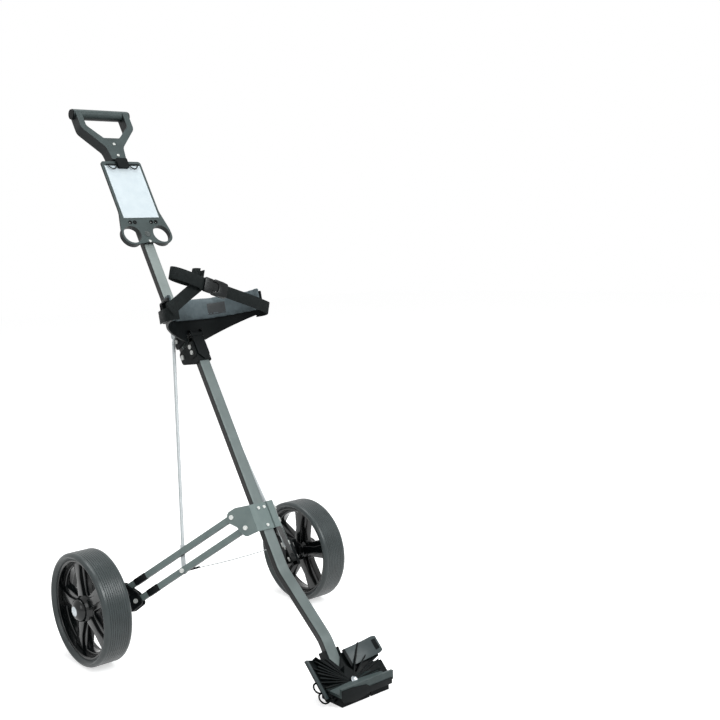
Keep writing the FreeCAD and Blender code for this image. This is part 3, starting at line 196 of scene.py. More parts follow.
# shared effects, each one a node group that materials place with their own values
def newGroup(name, inputs, outputs):
    group = bpy.data.node_groups.new(name, "ShaderNodeTree")
    kinds = {"value": "NodeSocketFloat", "vector": "NodeSocketVector", "color": "NodeSocketColor"}
    for word, kind in inputs:
        group.interface.new_socket(name=word, in_out="INPUT", socket_type=kinds[kind])
    for word, kind in outputs:
        group.interface.new_socket(name=word, in_out="OUTPUT", socket_type=kinds[kind])
    return group, group.nodes.new("NodeGroupInput"), group.nodes.new("NodeGroupOutput")


def addMath(tree, operation, first, second=None):
    node = tree.nodes.new("ShaderNodeMath")
    node.operation = operation
    for socket, value in zip(node.inputs, (first, second)):
        if hasattr(value, "default_value") or hasattr(value, "links"):
            tree.links.new(value, socket)
        elif value is not None:
            socket.default_value = value
    return node.outputs[0]


def mixColors(tree, factor, first, second):
    node = tree.nodes.new("ShaderNodeMix")
    node.data_type = "RGBA"
    for socket, value in ((node.inputs[0], factor), (node.inputs[6], first), (node.inputs[7], second)):
        if hasattr(value, "links"):
            tree.links.new(value, socket)
        else:
            socket.default_value = value
    return node.outputs[2]


def makeTone():
    group, given, put = newGroup(
        "surfaceTone", [("Vector", "vector"), ("Light", "color"), ("Dark", "color"), ("Scale", "value")],
        [("Color", "color"), ("Mask", "value")])
    noise = group.nodes.new("ShaderNodeTexNoise")
    noise.inputs["Detail"].default_value = 6
    group.links.new(given.outputs["Vector"], noise.inputs["Vector"])
    group.links.new(given.outputs["Scale"], noise.inputs["Scale"])
    spread = group.nodes.new("ShaderNodeMapRange")
    spread.inputs["From Min"].default_value = 0.3
    spread.inputs["From Max"].default_value = 0.7
    group.links.new(noise.outputs["Fac"], spread.inputs["Value"])
    color = mixColors(group, spread.outputs[0], given.outputs["Dark"], given.outputs["Light"])
    group.links.new(color, put.inputs["Color"])
    group.links.new(spread.outputs[0], put.inputs["Mask"])
    return group


def makeGrain():
    group, given, put = newGroup(
        "mouldedGrain", [("Vector", "vector"), ("Scale", "value")], [("Height", "value")])
    pits = group.nodes.new("ShaderNodeTexVoronoi")
    pits.feature = "SMOOTH_F1"
    haze = group.nodes.new("ShaderNodeTexNoise")
    haze.inputs["Detail"].default_value = 3
    for node in (pits, haze):
        group.links.new(given.outputs["Vector"], node.inputs["Vector"])
        group.links.new(given.outputs["Scale"], node.inputs["Scale"])
    total = addMath(group, "ADD", pits.outputs["Distance"], haze.outputs["Fac"])
    group.links.new(total, put.inputs["Height"])
    return group


def makePatches():
    group, given, put = newGroup(
        "rubbedPatches", [("Vector", "vector"), ("Scale", "value"), ("Smooth", "value"), ("Rough", "value")],
        [("Value", "value")])
    noise = group.nodes.new("ShaderNodeTexNoise")
    noise.inputs["Detail"].default_value = 4
    group.links.new(given.outputs["Vector"], noise.inputs["Vector"])
    group.links.new(given.outputs["Scale"], noise.inputs["Scale"])
    spread = group.nodes.new("ShaderNodeMapRange")
    spread.inputs["From Min"].default_value = 0.25
    spread.inputs["From Max"].default_value = 0.75
    group.links.new(noise.outputs["Fac"], spread.inputs["Value"])
    group.links.new(given.outputs["Smooth"], spread.inputs["To Min"])
    group.links.new(given.outputs["Rough"], spread.inputs["To Max"])
    group.links.new(spread.outputs[0], put.inputs["Value"])
    return group


def makeFacing():
    group, given, put = newGroup(
        "facesAlong", [("Normal", "vector"), ("Axis", "vector"), ("Edge", "value"), ("Steep", "value")],
        [("Mask", "value")])
    dot = group.nodes.new("ShaderNodeVectorMath")
    dot.operation = "DOT_PRODUCT"
    group.links.new(given.outputs["Normal"], dot.inputs[0])
    group.links.new(given.outputs["Axis"], dot.inputs[1])
    size = addMath(group, "ABSOLUTE", dot.outputs["Value"])
    over = addMath(group, "SUBTRACT", size, given.outputs["Edge"])
    steep = addMath(group, "MULTIPLY", over, given.outputs["Steep"])
    mask = group.nodes.new("ShaderNodeClamp")
    group.links.new(steep, mask.inputs["Value"])
    group.links.new(mask.outputs[0], put.inputs["Mask"])
    return group


def makeWeave():
    group, given, put = newGroup(
        "ribbedWeave", [("Vector", "vector"), ("Ribs", "value"), ("Picks", "value")],
        [("Height", "value"), ("Mask", "value")])
    split = group.nodes.new("ShaderNodeSeparateXYZ")
    group.links.new(given.outputs["Vector"], split.inputs[0])
    ribs = addMath(group, "SINE", addMath(group, "MULTIPLY", split.outputs["Y"], given.outputs["Ribs"]))
    half = addMath(group, "MULTIPLY", split.outputs["X"], given.outputs["Picks"])
    picks = addMath(group, "SINE", addMath(group, "ADD", half, addMath(group, "MULTIPLY", ribs, 1.2)))
    both = addMath(group, "MULTIPLY", addMath(group, "ADD", ribs, picks), 0.5)
    group.links.new(both, put.inputs["Height"])
    group.links.new(addMath(group, "ADD", addMath(group, "MULTIPLY", both, 0.5), 0.5), put.inputs["Mask"])
    return group


effects = {"tone": makeTone(), "grain": makeGrain(), "patches": makePatches(), "facing": makeFacing(),
           "weave": makeWeave()}


def paint(red, green, blue):
    def straight(v):
        v /= 255
        return v / 12.92 if v <= 0.04045 else ((v + 0.055) / 1.055) ** 2.4
    return (straight(red), straight(green), straight(blue), 1.0)


# finishes: light and dark colour, patches per metre, roughness from and to, grains per metre,
# their depth in mm, metallic, and how strongly the surface mirrors
finishFields = ("light", "dark", "patch", "smooth", "rough", "grain", "depth", "metallic", "shine")
finishRows = {
    "frontPaint": ((104, 114, 113), (92, 102, 101), 30, 0.34, 0.46, 2600, 0.02, 0.3, 0.5),
    "upperPaint": ((136, 145, 143), (122, 131, 129), 20, 0.34, 0.46, 2600, 0.02, 0.35, 0.5),
    "bracketPaint": ((104, 117, 115), (94, 107, 106), 40, 0.36, 0.48, 2400, 0.02, 0.35, 0.5),
    "blackNylon": ((14, 19, 20), (8, 12, 13), 60, 0.36, 0.52, 1500, 0.05, 0.0, 0.1),
    "greyNylon": ((68, 79, 79), (59, 69, 69), 45, 0.4, 0.54, 1500, 0.04, 0.0, 0.25),
    "darkNylon": ((60, 68, 68), (50, 58, 57), 45, 0.42, 0.56, 1500, 0.04, 0.0, 0.5),
    "glossBlack": ((18, 23, 24), (12, 16, 17), 35, 0.13, 0.24, 500, 0.02, 0.0, 0.3),
    "treadRubber": ((54, 63, 64), (44, 52, 53), 40, 0.28, 0.4, 1800, 0.02, 0.0, 0.5),
    "buckleNylon": ((15, 19, 20), (9, 12, 13), 60, 0.24, 0.36, 1500, 0.03, 0.0, 0.25),
    "padRubber": ((17, 21, 22), (11, 14, 15), 50, 0.55, 0.75, 1500, 0.06, 0.0, 0.1),
    "slateFoam": ((90, 102, 107), (76, 88, 92), 70, 0.6, 0.78, 2200, 0.12, 0.0, 0.5),
    "patchVinyl": ((47, 50, 52), (38, 41, 43), 90, 0.5, 0.65, 2600, 0.08, 0.0, 0.5),
    "slateNylon": ((42, 55, 57), (33, 45, 47), 45, 0.38, 0.5, 1500, 0.04, 0.0, 0.5),
    "boltZinc": ((222, 224, 220), (196, 198, 196), 200, 0.22, 0.36, 900, 0.01, 0.25, 0.5),
    "wireZinc": ((206, 212, 214), (190, 196, 198), 60, 0.36, 0.5, 900, 0.005, 0.2, 0.5),
    "zincPlate": ((226, 230, 232), (196, 202, 206), 120, 0.16, 0.34, 900, 0.02, 1.0, 0.5),
    "whiteCable": ((205, 210, 210), (178, 184, 184), 300, 0.35, 0.5, 2500, 0.05, 0.2, 0.5),
    "cardPaper": ((212, 222, 227), (204, 215, 221), 50, 0.42, 0.52, 2500, 0.02, 0.0, 0.5),
    "hubSilver": ((190, 196, 200), (160, 168, 172), 120, 0.22, 0.36, 1200, 0.02, 0.8, 0.5),
    "elasticBlack": ((20, 24, 24), (12, 15, 15), 600, 0.6, 0.8, 1800, 0.15, 0.0, 0.1),
}
finishes = {name: dict(zip(finishFields, row)) for name, row in finishRows.items()}
finishes["glossBlack"]["coat"] = 0.2
for name in ("frontPaint", "upperPaint"):
    finishes[name]["side"] = (12, 15, 15)  # painted shade: the narrow sides get this near-black colour in place of the front colour


def makeFinish(name, values, shadedSideAxis=None, litFaceAxis=None):
    material = bpy.data.materials.new(name)
    material.use_nodes = True
    tree = material.node_tree
    shader = tree.nodes["Principled BSDF"]
    place = tree.nodes.new("ShaderNodeTexCoord")
    tone = tree.nodes.new("ShaderNodeGroup")
    tone.node_tree = effects["tone"]
    tone.inputs["Light"].default_value = paint(*values["light"])
    tone.inputs["Dark"].default_value = paint(*values["dark"])
    tone.inputs["Scale"].default_value = values["patch"]
    patches = tree.nodes.new("ShaderNodeGroup")
    patches.node_tree = effects["patches"]
    patches.inputs["Scale"].default_value = values["patch"] * 2.5
    patches.inputs["Smooth"].default_value = values["smooth"]
    patches.inputs["Rough"].default_value = values["rough"]
    grain = tree.nodes.new("ShaderNodeGroup")
    grain.node_tree = effects["grain"]
    grain.inputs["Scale"].default_value = values["grain"]
    for group in (tone, patches, grain):
        tree.links.new(place.outputs["Object"], group.inputs["Vector"])
    color = tone.outputs["Color"]
    # painted shade: faces turned along the shaded side axis, or turned away from the lit face axis, take the
    # dark side colour in place of the surface colour
    if shadedSideAxis or litFaceAxis:
        facing = tree.nodes.new("ShaderNodeGroup")
        facing.node_tree = effects["facing"]
        facing.inputs["Axis"].default_value = shadedSideAxis or litFaceAxis
        facing.inputs["Edge"].default_value = 0.72 if shadedSideAxis else 0.1
        facing.inputs["Steep"].default_value = 8.0 if shadedSideAxis else 1.5
        tree.links.new(place.outputs["Normal"], facing.inputs["Normal"])
        side = paint(*values["side"])
        faces = (color, side) if shadedSideAxis else (side, color)
        color = mixColors(tree, facing.outputs["Mask"], *faces)
    bump = tree.nodes.new("ShaderNodeBump")
    bump.inputs["Distance"].default_value = values["depth"] / 1000
    tree.links.new(grain.outputs["Height"], bump.inputs["Height"])
    tree.links.new(color, shader.inputs["Base Color"])
    tree.links.new(patches.outputs["Value"], shader.inputs["Roughness"])
    tree.links.new(bump.outputs["Normal"], shader.inputs["Normal"])
    shader.inputs["Metallic"].default_value = values["metallic"]
    shader.inputs["Coat Weight"].default_value = values.get("coat", 0.0)
    shader.inputs["Coat Roughness"].default_value = 0.1
    shader.inputs["Specular IOR Level"].default_value = values["shine"]
    return material


def makeWebbing(name, values):
    material = makeFinish(name, values)
    tree = material.node_tree
    shader = tree.nodes["Principled BSDF"]
    place = tree.nodes.new("ShaderNodeAttribute")
    place.attribute_name = "weavePlace"
    weave = tree.nodes.new("ShaderNodeGroup")
    weave.node_tree = effects["weave"]
    weave.inputs["Ribs"].default_value = values["ribs"]
    weave.inputs["Picks"].default_value = values["picks"]
    tree.links.new(place.outputs["Vector"], weave.inputs["Vector"])
    bump = tree.nodes.new("ShaderNodeBump")
    bump.inputs["Distance"].default_value = values["relief"] / 1000
    tree.links.new(weave.outputs["Height"], bump.inputs["Height"])
    tree.links.new(shader.inputs["Normal"].links[0].from_socket, bump.inputs["Normal"])
    tree.links.new(bump.outputs["Normal"], shader.inputs["Normal"])
    # painted shade: the weave's low parts are darkened towards the near-black hollow colour
    plain = shader.inputs["Base Color"].links[0].from_socket
    color = mixColors(tree, weave.outputs["Mask"], paint(*values["hollow"]), plain)
    tree.links.new(color, shader.inputs["Base Color"])
    return material


webbing = {"light": (36, 43, 43), "dark": (26, 32, 32), "hollow": (8, 9, 9), "patch": 60, "smooth": 0.55,
           "rough": 0.75, "grain": 2600, "depth": 0.04, "metallic": 0.0, "shine": 0.12, "ribs": 3600,
           "picks": 3600, "relief": 0.15}
materials = {name: makeFinish(name, values) for name, values in finishes.items()}
materials["webbing"] = makeWebbing("webbing", webbing)
# painted shade: the mast tubes' faces turned along x are darkened to near black
materials["mastPaintSideShade"] = makeFinish("mastPaintSideShade", finishes["frontPaint"], (1, 0, 0))
materials["upperMastPaintSideShade"] = makeFinish("upperMastPaintSideShade", finishes["upperPaint"], (1, 0, 0))
# painted shade: faces of the card plate and handle frame turned away from the front are darkened towards (20,
# 26, 27)
materials["plateNylonShaded"] = makeFinish("plateNylonShaded", {**finishes["greyNylon"], "side": (20, 26, 27)},
                                     litFaceAxis=(0, -0.8616, 0.5075))
# painted shade: the arms' top and underside, the faces turned along this axis, are darkened to near black
# (17, 20, 20)
armShadeAxis = {"right": (0.1138, 0.6199, 0.7764), "left": (-0.1138, 0.6199, 0.7764)}
for side, axis in armShadeAxis.items():
    values = {**finishes["bracketPaint"], "side": (17, 20, 20)}
    materials["armShadedPaint_" + side] = makeFinish("armShadedPaint_" + side, values, axis)

# every CAD node's own finish, by its name without its side
nodeFinish = {
    "mast_lower_tube": "mastPaintSideShade", "mast_foot_tube": "mastPaintSideShade", "mast_upper_tube": "upperMastPaintSideShade",
    "mast_lower_plug": "blackNylon", "wheel_bracket": "bracketPaint", "wheel_bracket_rivets": "boltZinc",
    "arm_root_bolts": "boltZinc", "base_cradle": "blackNylon", "base_ledge": "greyNylon",
    "base_feet": "padRubber", "base_elastic_loops": "elasticBlack", "hinge_lower_bracket": "blackNylon",
    "hinge_side_straps": "blackNylon",
    "hinge_lower_bolts": "boltZinc", "hinge_pivot_bolt": "boltZinc", "hinge_upper_bracket": "blackNylon",
    "hinge_upper_bolts": "boltZinc", "push_rod_studs": "boltZinc", "latch_pin": "zincPlate",
    "latch_lever": "blackNylon", "cradle_body": "blackNylon", "cradle_pad": "slateFoam",
    "strap_right": "elasticBlack", "strap_left": "elasticBlack", "buckle_socket": "blackNylon",
    "buckle_tongue": "blackNylon", "handle_frame": "plateNylonShaded", "handle_caps": "blackNylon",
    "handle_bolts": "boltZinc", "card_plate": "plateNylonShaded", "card_sheet": "cardPaper",
    "card_clip_block": "blackNylon", "card_clip_wire": "blackNylon", "tie_wire": "whiteCable",
    "tie_wire_sleeves": "elasticBlack", "push_rod_bolt": "boltZinc", "push_rod": "wireZinc",
    "axle_bracket": "blackNylon", "axle_bolts": "boltZinc", "stub_axle": "zincPlate", "catch": "zincPlate",
    "tyre": "treadRubber", "rim": "glossBlack", "hub_cap": "hubSilver",
}


def plainName(name):
    for side in ("_right", "_left"):
        if name.endswith(side) and name not in nodeFinish:
            return name[: -len(side)], side[1:]
    return name, ""


def setFinish(piece, material):
    piece.data.materials.clear()
    piece.data.materials.append(material)


for name, node in nodes.items():
    word, side = plainName(name)
    if word.startswith("arm_lower") or word.startswith("arm_upper"):
        setFinish(node, materials["armShadedPaint_" + side])
        continue
    found = [w for w in sorted(nodeFinish, key=len, reverse=True) if word.startswith(w)]
    if not found:
        print("no finish for", name)
    setFinish(node, materials[nodeFinish[found[0]] if found else "blackNylon"])
print("finishes set")


# frames of the tilted parts: where each starts, and its own x, y and z
def frameOf(origin, across, back, up):
    turn = Matrix((across, back, up)).transposed().to_4x4()
    return Matrix.Translation(mm(*origin)) @ turn


mastFrame = frameOf((0, 484, 590), (1, 0, 0), (0, 0.86163, -0.50754), (0, 0.50754, 0.86163))
cradleFrame = frameOf((0, 457.99, 668.0), (1, 0, 0), (0, 0.97992, -0.19937), (0, 0.19937, 0.97992))
frontTurn = math.radians(21)  # the strap slopes down to the right wing
frontCos, frontSin = math.cos(frontTurn), math.sin(frontTurn)
frontFrame = cradleFrame @ frameOf((-4, -103.3, 47), (frontCos, 0, -frontSin), (0, 1, 0),
                                   (frontSin, 0, frontCos))
dishTurn = math.radians(44)
dishCos, dishSin = math.cos(dishTurn), math.sin(dishTurn)
dishFrame = frameOf((0, -15, 12), (1, 0, 0), (0, dishCos, -dishSin), (0, dishSin, dishCos))
armFrames = {"right": frameOf((43, 254.9, 271.2), (0.6203, 0.5661, -0.5429), (0.1138, 0.6199, 0.7764),
                              (0.7760, -0.5434, 0.3201))}
mirrorAcross = Matrix.Diagonal((-1, 1, 1, 1))
armFrames["left"] = mirrorAcross @ armFrames["right"]
wheelCenters = {"right": (279.5, 468, 115), "left": (-279.5, 468, 115)}


# modelling helpers: each piece ends at the origin with its place in its mesh
def deselectAll():
    if bpy.context.object and bpy.context.object.mode == "EDIT":
        bpy.ops.object.mode_set(mode="OBJECT")
    bpy.ops.object.select_all(action="DESELECT")


def pick(*pieces):
    deselectAll()
    for piece in pieces:
        piece.select_set(True)
    bpy.context.view_layer.objects.active = pieces[0]


def drawOutline(name, loops, half=0.0, edge=0.0, fill=False, closed=True, smooth=False, steps=6):
    drawing = bpy.data.curves.new(name, "CURVE")
    drawing.dimensions = "2D" if fill else "3D"
    if fill:
        drawing.fill_mode = "BOTH"
    drawing.extrude = half / 1000
    drawing.bevel_depth = edge / 1000
    drawing.bevel_resolution = 2
    drawing.offset = -edge / 1000
    drawing.resolution_u = steps
    for loop in loops:
        spline = drawing.splines.new("NURBS" if smooth else "POLY")
        spline.points.add(len(loop) - 1)
        for point, (x, y) in zip(spline.points, loop):
            point.co = (x / 1000, y / 1000, 0, 1)
        spline.use_cyclic_u = closed
        if smooth:
            spline.order_u = 3
            spline.use_endpoint_u = not closed
    piece = bpy.data.objects.new(name, drawing)
    scene.collection.objects.link(piece)
    pick(piece)
    bpy.ops.object.convert(target="MESH")
    piece = bpy.context.object
    piece.name = name
    return piece


def cleanMesh(piece):
    pick(piece)
    bpy.ops.object.mode_set(mode="EDIT")
    bpy.ops.mesh.select_all(action="SELECT")
    bpy.ops.mesh.remove_doubles(threshold=0.00002)
    bpy.ops.mesh.normals_make_consistent(inside=False)
    bpy.ops.object.mode_set(mode="OBJECT")


def placePiece(piece, place):
    pick(piece)
    piece.matrix_world = place @ piece.matrix_world
    bpy.ops.object.transform_apply(location=True, rotation=True, scale=True)


def addModifier(piece, kind, **values):
    pick(piece)
    bpy.ops.object.modifier_add(type=kind)
    modifier = piece.modifiers[-1]
    for word, value in values.items():
        setattr(modifier, word, value)
    bpy.ops.object.modifier_apply(modifier=modifier.name)


def roundEdges(piece, width, segments, angle):
    addModifier(piece, "BEVEL", width=width / 1000, segments=segments, limit_method="ANGLE",
                angle_limit=math.radians(angle))


def joinPieces(name, pieces):
    pick(*pieces)
    if len(pieces) > 1:
        bpy.ops.object.join()
    piece = bpy.context.object
    piece.name = name
    piece.data.name = name
    return piece


def finishPiece(piece, finish, body, angle=35):
    cleanMesh(piece)
    bpy.ops.object.shade_smooth_by_angle(angle=math.radians(angle))
    setFinish(piece, materials[finish])
    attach(piece, body)
    return piece


def copyPiece(piece, name):
    twin = bpy.data.objects.new(name, piece.data.copy())
    scene.collection.objects.link(twin)
    return twin


def roundedBox(name, size, center, edge):
    bpy.ops.mesh.primitive_cube_add(size=1, location=mm(*center), scale=mm(*size))
    piece = bpy.context.object
    piece.name = name
    bpy.ops.object.transform_apply(location=True, rotation=True, scale=True)
    roundEdges(piece, edge, 3, 30)
    return piece


# webbing: a flat band on edge along its route, with the weave's place kept along and across it
def band(name, route, width, thick, place, steps=8, smooth=True):
    piece = drawOutline(name, [route], half=width / 2, closed=False, smooth=smooth, steps=steps)
    along, last = 0.0, None
    spots = []
    for vertex in piece.data.vertices:
        here = Vector((vertex.co.x, vertex.co.y))
        if last is not None and (here - last).length > 1e-6:
            along += (here - last).length
        last = here
        spots.append((along, vertex.co.z, 0.0))
    weavePlace = piece.data.attributes.new("weavePlace", "FLOAT_VECTOR", "POINT")
    for spot, value in zip(weavePlace.data, spots):
        spot.vector = value
    pick(piece)
    bpy.ops.object.mode_set(mode="EDIT")
    bpy.ops.mesh.select_all(action="SELECT")
    bpy.ops.mesh.normals_make_consistent(inside=False)
    bpy.ops.object.mode_set(mode="OBJECT")
    addModifier(piece, "SOLIDIFY", thickness=thick / 1000, offset=0.0, use_even_offset=True)
    roundEdges(piece, thick / 3.5, 2, 50)
    placePiece(piece, place)
    return piece


# spun piece: half a section drawn as (along, out) and turned about the x axis
def spinPiece(name, section, steps=128):
    piece = drawOutline(name, [section])
    pick(piece)
    bpy.ops.object.mode_set(mode="EDIT")
    bpy.ops.mesh.select_all(action="SELECT")
    bpy.ops.mesh.spin(steps=steps, angle=2 * math.pi, center=(0, 0, 0), axis=(1, 0, 0), use_auto_merge=True)
    bpy.ops.mesh.select_all(action="SELECT")
    bpy.ops.mesh.remove_doubles(threshold=0.00002)
    bpy.ops.mesh.normals_make_consistent(inside=False)
    bpy.ops.object.mode_set(mode="OBJECT")
    return piece


# wheels: ribbed tyre, dished five-spoke rim with a spun barrel and hub
wheelSettings = {"radius": 115, "half": 31, "shoulder": 8, "grooveDeep": 0.9, "grooveHalf": 0.55,
                 "grooves": (-19, -14.2, -9.5, -4.8, 0, 4.8, 9.5, 14.2, 19), "grooveLip": 0.25,
                 "turns": {"right": 59.6, "left": 75.0}, "spokes": 5, "rimRadius": 96.4, "window": 90.5,
                 "dish": 4.0, "depth": 8.5, "edge": 2.2}
# half sections as (along the axle, out from it)
barrelSection = [(-23, 99.7), (-23, 96.6), (-21.5, 95.2), (-17, 94.8), (17, 94.8), (21.5, 95.2), (23, 96.6),
                 (23, 99.7)]
hubSection = [(-25, 6.3), (-25, 17), (-23.5, 18.6), (-15, 19.5), (-11, 24), (9, 31), (15, 29), (20, 24),
              (24.2, 21.5), (25, 19.5), (25, 6.3)]
capSection = [(22, 0.01), (22, 24), (26, 23.4), (30, 21), (33.5, 16.6), (35.4, 12.4), (36, 11), (36, 0.01)]
badgeSection = [(35.8, 0.01), (35.8, 10), (36.25, 9.6), (36.25, 0.01)]
bladeLoop = [(22, 11.0), (60, 7.6), (88, 11.5), (93.5, 14), (93.5, -14), (88, -11.5), (60, -7.6), (22, -11.0)]


def tyreSection(settings):
    radius, half, shoulder = settings["radius"], settings["half"], settings["shoulder"]
    wall = [(22.8, 100.2), (25, 101.2), (28.6, 104.6), (30.4, 106.4), (31, 108)]
    for angle in range(15, 91, 15):  # rounded shoulder
        c, s = math.cos(math.radians(angle)), math.sin(math.radians(angle))
        wall.append((half - shoulder * (1 - c), radius - shoulder + shoulder * s))
    section = [(-along, out) for along, out in wall]
    inner, deepest, brink = settings["grooveHalf"], radius - settings["grooveDeep"], radius - 0.2
    outer = inner + settings["grooveLip"]
    for spot in settings["grooves"]:
        section += [(spot - outer, radius), (spot - inner, brink), (spot, deepest), (spot + inner, brink),
                    (spot + outer, radius)]
    return section + wall[::-1]


def windowOutline(far):
    outline = []
    for step in range(13):  # outer edge, an arc about the axle
        angle = math.radians(-22.5 + 45 * step / 12)
        outline.append((far * math.cos(angle) * 0.985, far * math.sin(angle) * 0.93))
    outline += [(78, 29.8), (70, 25.2), (60, 19.2), (50, 13.6), (41, 8.6), (35.4, 5.0), (32.6, 1.8)]
    outline += [(x, -y) for x, y in reversed(outline[13:])]
    return outline


def turnedAbout(outline, angle):
    c, s = math.cos(angle), math.sin(angle)
    return [(x * c - y * s, x * s + y * c) for x, y in outline]


faceAlong = Matrix(((0, 0, 1, 0), (1, 0, 0, 0), (0, 1, 0, 0), (0, 0, 0, 1)))  # a flat drawing set to face +X


# spoke ridges: a raised blade along each spoke, highest at the hub, so that the rim looks deep
def makeSpokeBlades(settings):
    blade = drawOutline("spokeBlade", [bladeLoop], half=3.4, edge=1.6, fill=True)
    placePiece(blade, faceAlong)
    for vertex in blade.data.vertices:
        reach = math.hypot(vertex.co.y, vertex.co.z) / 0.0935
        vertex.co.x += (13.5 - 5.5 * reach) / 1000
    blades = []
    for i in range(settings["spokes"]):
        for flip in (1, -1):
            twin = copyPiece(blade, "spokeBladeTwin")
            placePiece(twin, Matrix.Rotation(2 * math.pi * (i + 0.5) / settings["spokes"], 4, "X")
                       @ Matrix.Diagonal((flip, 1, 1, 1)))
            blades.append(twin)
    bpy.data.objects.remove(blade)
    return blades


def makeWheels(settings):
    tyre = spinPiece("tyreForm", tyreSection(settings), 144)
    circle = [(settings["rimRadius"], 0)]
    loops = [[turnedAbout(circle, math.radians(angle))[0] for angle in range(0, 360, 3)]]
    for i in range(settings["spokes"]):
        loops.append(turnedAbout(windowOutline(settings["window"]), 2 * math.pi * i / settings["spokes"]))
    edge = settings["edge"]
    disc = drawOutline("rimDisc", loops, half=settings["depth"] - edge, edge=edge, fill=True)
    placePiece(disc, faceAlong)
    for vertex in disc.data.vertices:  # the spokes lean out towards the hub
        reach = 1000 * math.hypot(vertex.co.y, vertex.co.z) / settings["rimRadius"]
        vertex.co.x += settings["dish"] / 1000 * (1 - reach)
    barrel = spinPiece("rimBarrel", barrelSection, 120)
    hub = spinPiece("rimHub", hubSection, 72)
    rim = joinPieces("rimForm", [disc, barrel, hub] + makeSpokeBlades(settings))
    cleanMesh(rim)
    forms = ((tyre, "tyre_", "treadRubber", "tyre"), (rim, "rim_", "glossBlack", "gloss_black"))
    for side, turn in settings["turns"].items():
        outward = Matrix.Rotation(math.pi, 4, "Z") if side == "left" else Matrix.Identity(4)
        turned = Matrix.Rotation(math.radians(turn), 4, "X")
        place = Matrix.Translation(mm(*wheelCenters[side])) @ turned @ outward
        for form, node, finish, slot in forms:
            piece = copyPiece(form, node.replace("_", "") + side.capitalize())
            placePiece(piece, place)
            finishPiece(piece, finish, "wheel_" + side, 32)
            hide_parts(node + side)
        cap = spinPiece("hubCap" + side.capitalize(), capSection, 64)
        placePiece(cap, place)
        finishPiece(cap, "glossBlack", "wheel_" + side, 40)
        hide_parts("hub_cap_" + side)
        badge = spinPiece("hubBadge" + side.capitalize(), badgeSection, 48)
        placePiece(badge, place)
        finishPiece(badge, "hubSilver", "wheel_" + side, 40)
    for form in (tyre, rim):
        bpy.data.objects.remove(form)


makeWheels(wheelSettings)
print("wheels made")


# cradle pad: the foam band inside the moulded wall, swollen a little, with a sewn patch at its middle
padSettings = {"voxel": 0.0028, "pressure": 4.0, "frames": 20, "cap": 0.0018, "fill": 0.55, "bag": 0.106,
               "wall": 0.1131}


def swellPad(piece, settings):
    addModifier(piece, "REMESH", mode="VOXEL", voxel_size=settings["voxel"])
    addModifier(piece, "SMOOTH", factor=0.5, iterations=5)
    rest = [vertex.co.copy() for vertex in piece.data.vertices]
    bpy.ops.object.modifier_add(type="CLOTH")
    cloth = piece.modifiers[-1]
    cloth.settings.use_pressure = True
    cloth.settings.uniform_pressure_force = settings["pressure"]
    cloth.settings.effector_weights.gravity = 0
    cloth.point_cache.frame_start = 1
    cloth.point_cache.frame_end = settings["frames"]
    for step in range(1, settings["frames"] + 1):
        scene.frame_set(step)
    bpy.ops.object.modifier_apply(modifier=cloth.name)
    scene.frame_set(1)
    toCradle = cradleFrame.inverted()
    for vertex, before in zip(piece.data.vertices, rest):
        move = vertex.co - before
        if move.length > settings["cap"]:
            move *= settings["cap"] / move.length
        spot = toCradle @ (before + move)
        ahead = Vector((spot.x, spot.y + settings["bag"]))
        if ahead.length > settings["wall"]:  # stays inside the moulded wall
            ahead *= settings["wall"] / ahead.length
        vertex.co = cradleFrame @ Vector((ahead.x, ahead.y - settings["bag"], spot.z))
    addModifier(piece, "SUBSURF", levels=1, render_levels=1)


pad = bpy.data.objects.new("cradlePad", nodes["cradle_pad"].data.copy())
scene.collection.objects.link(pad)
cleanMesh(pad)
swellPad(pad, padSettings)
finishPiece(pad, "slateFoam", "upper_mast", 60)
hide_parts("cradle_pad")
print("cradle pad made")


def arcRoute(radius, first, last, steps, center=-106):
    route = []
    for step in range(steps + 1):
        angle = math.radians(first + (last - first) * step / steps)
        route.append((radius * math.sin(angle), center + radius * math.cos(angle)))
    return route


patchSettings = {"radius": 105.6, "first": 18.5, "last": 39.5, "low": 8, "high": 31.5, "thick": 0.9,
                 "inset": 3.0, "stitch": 3.2}


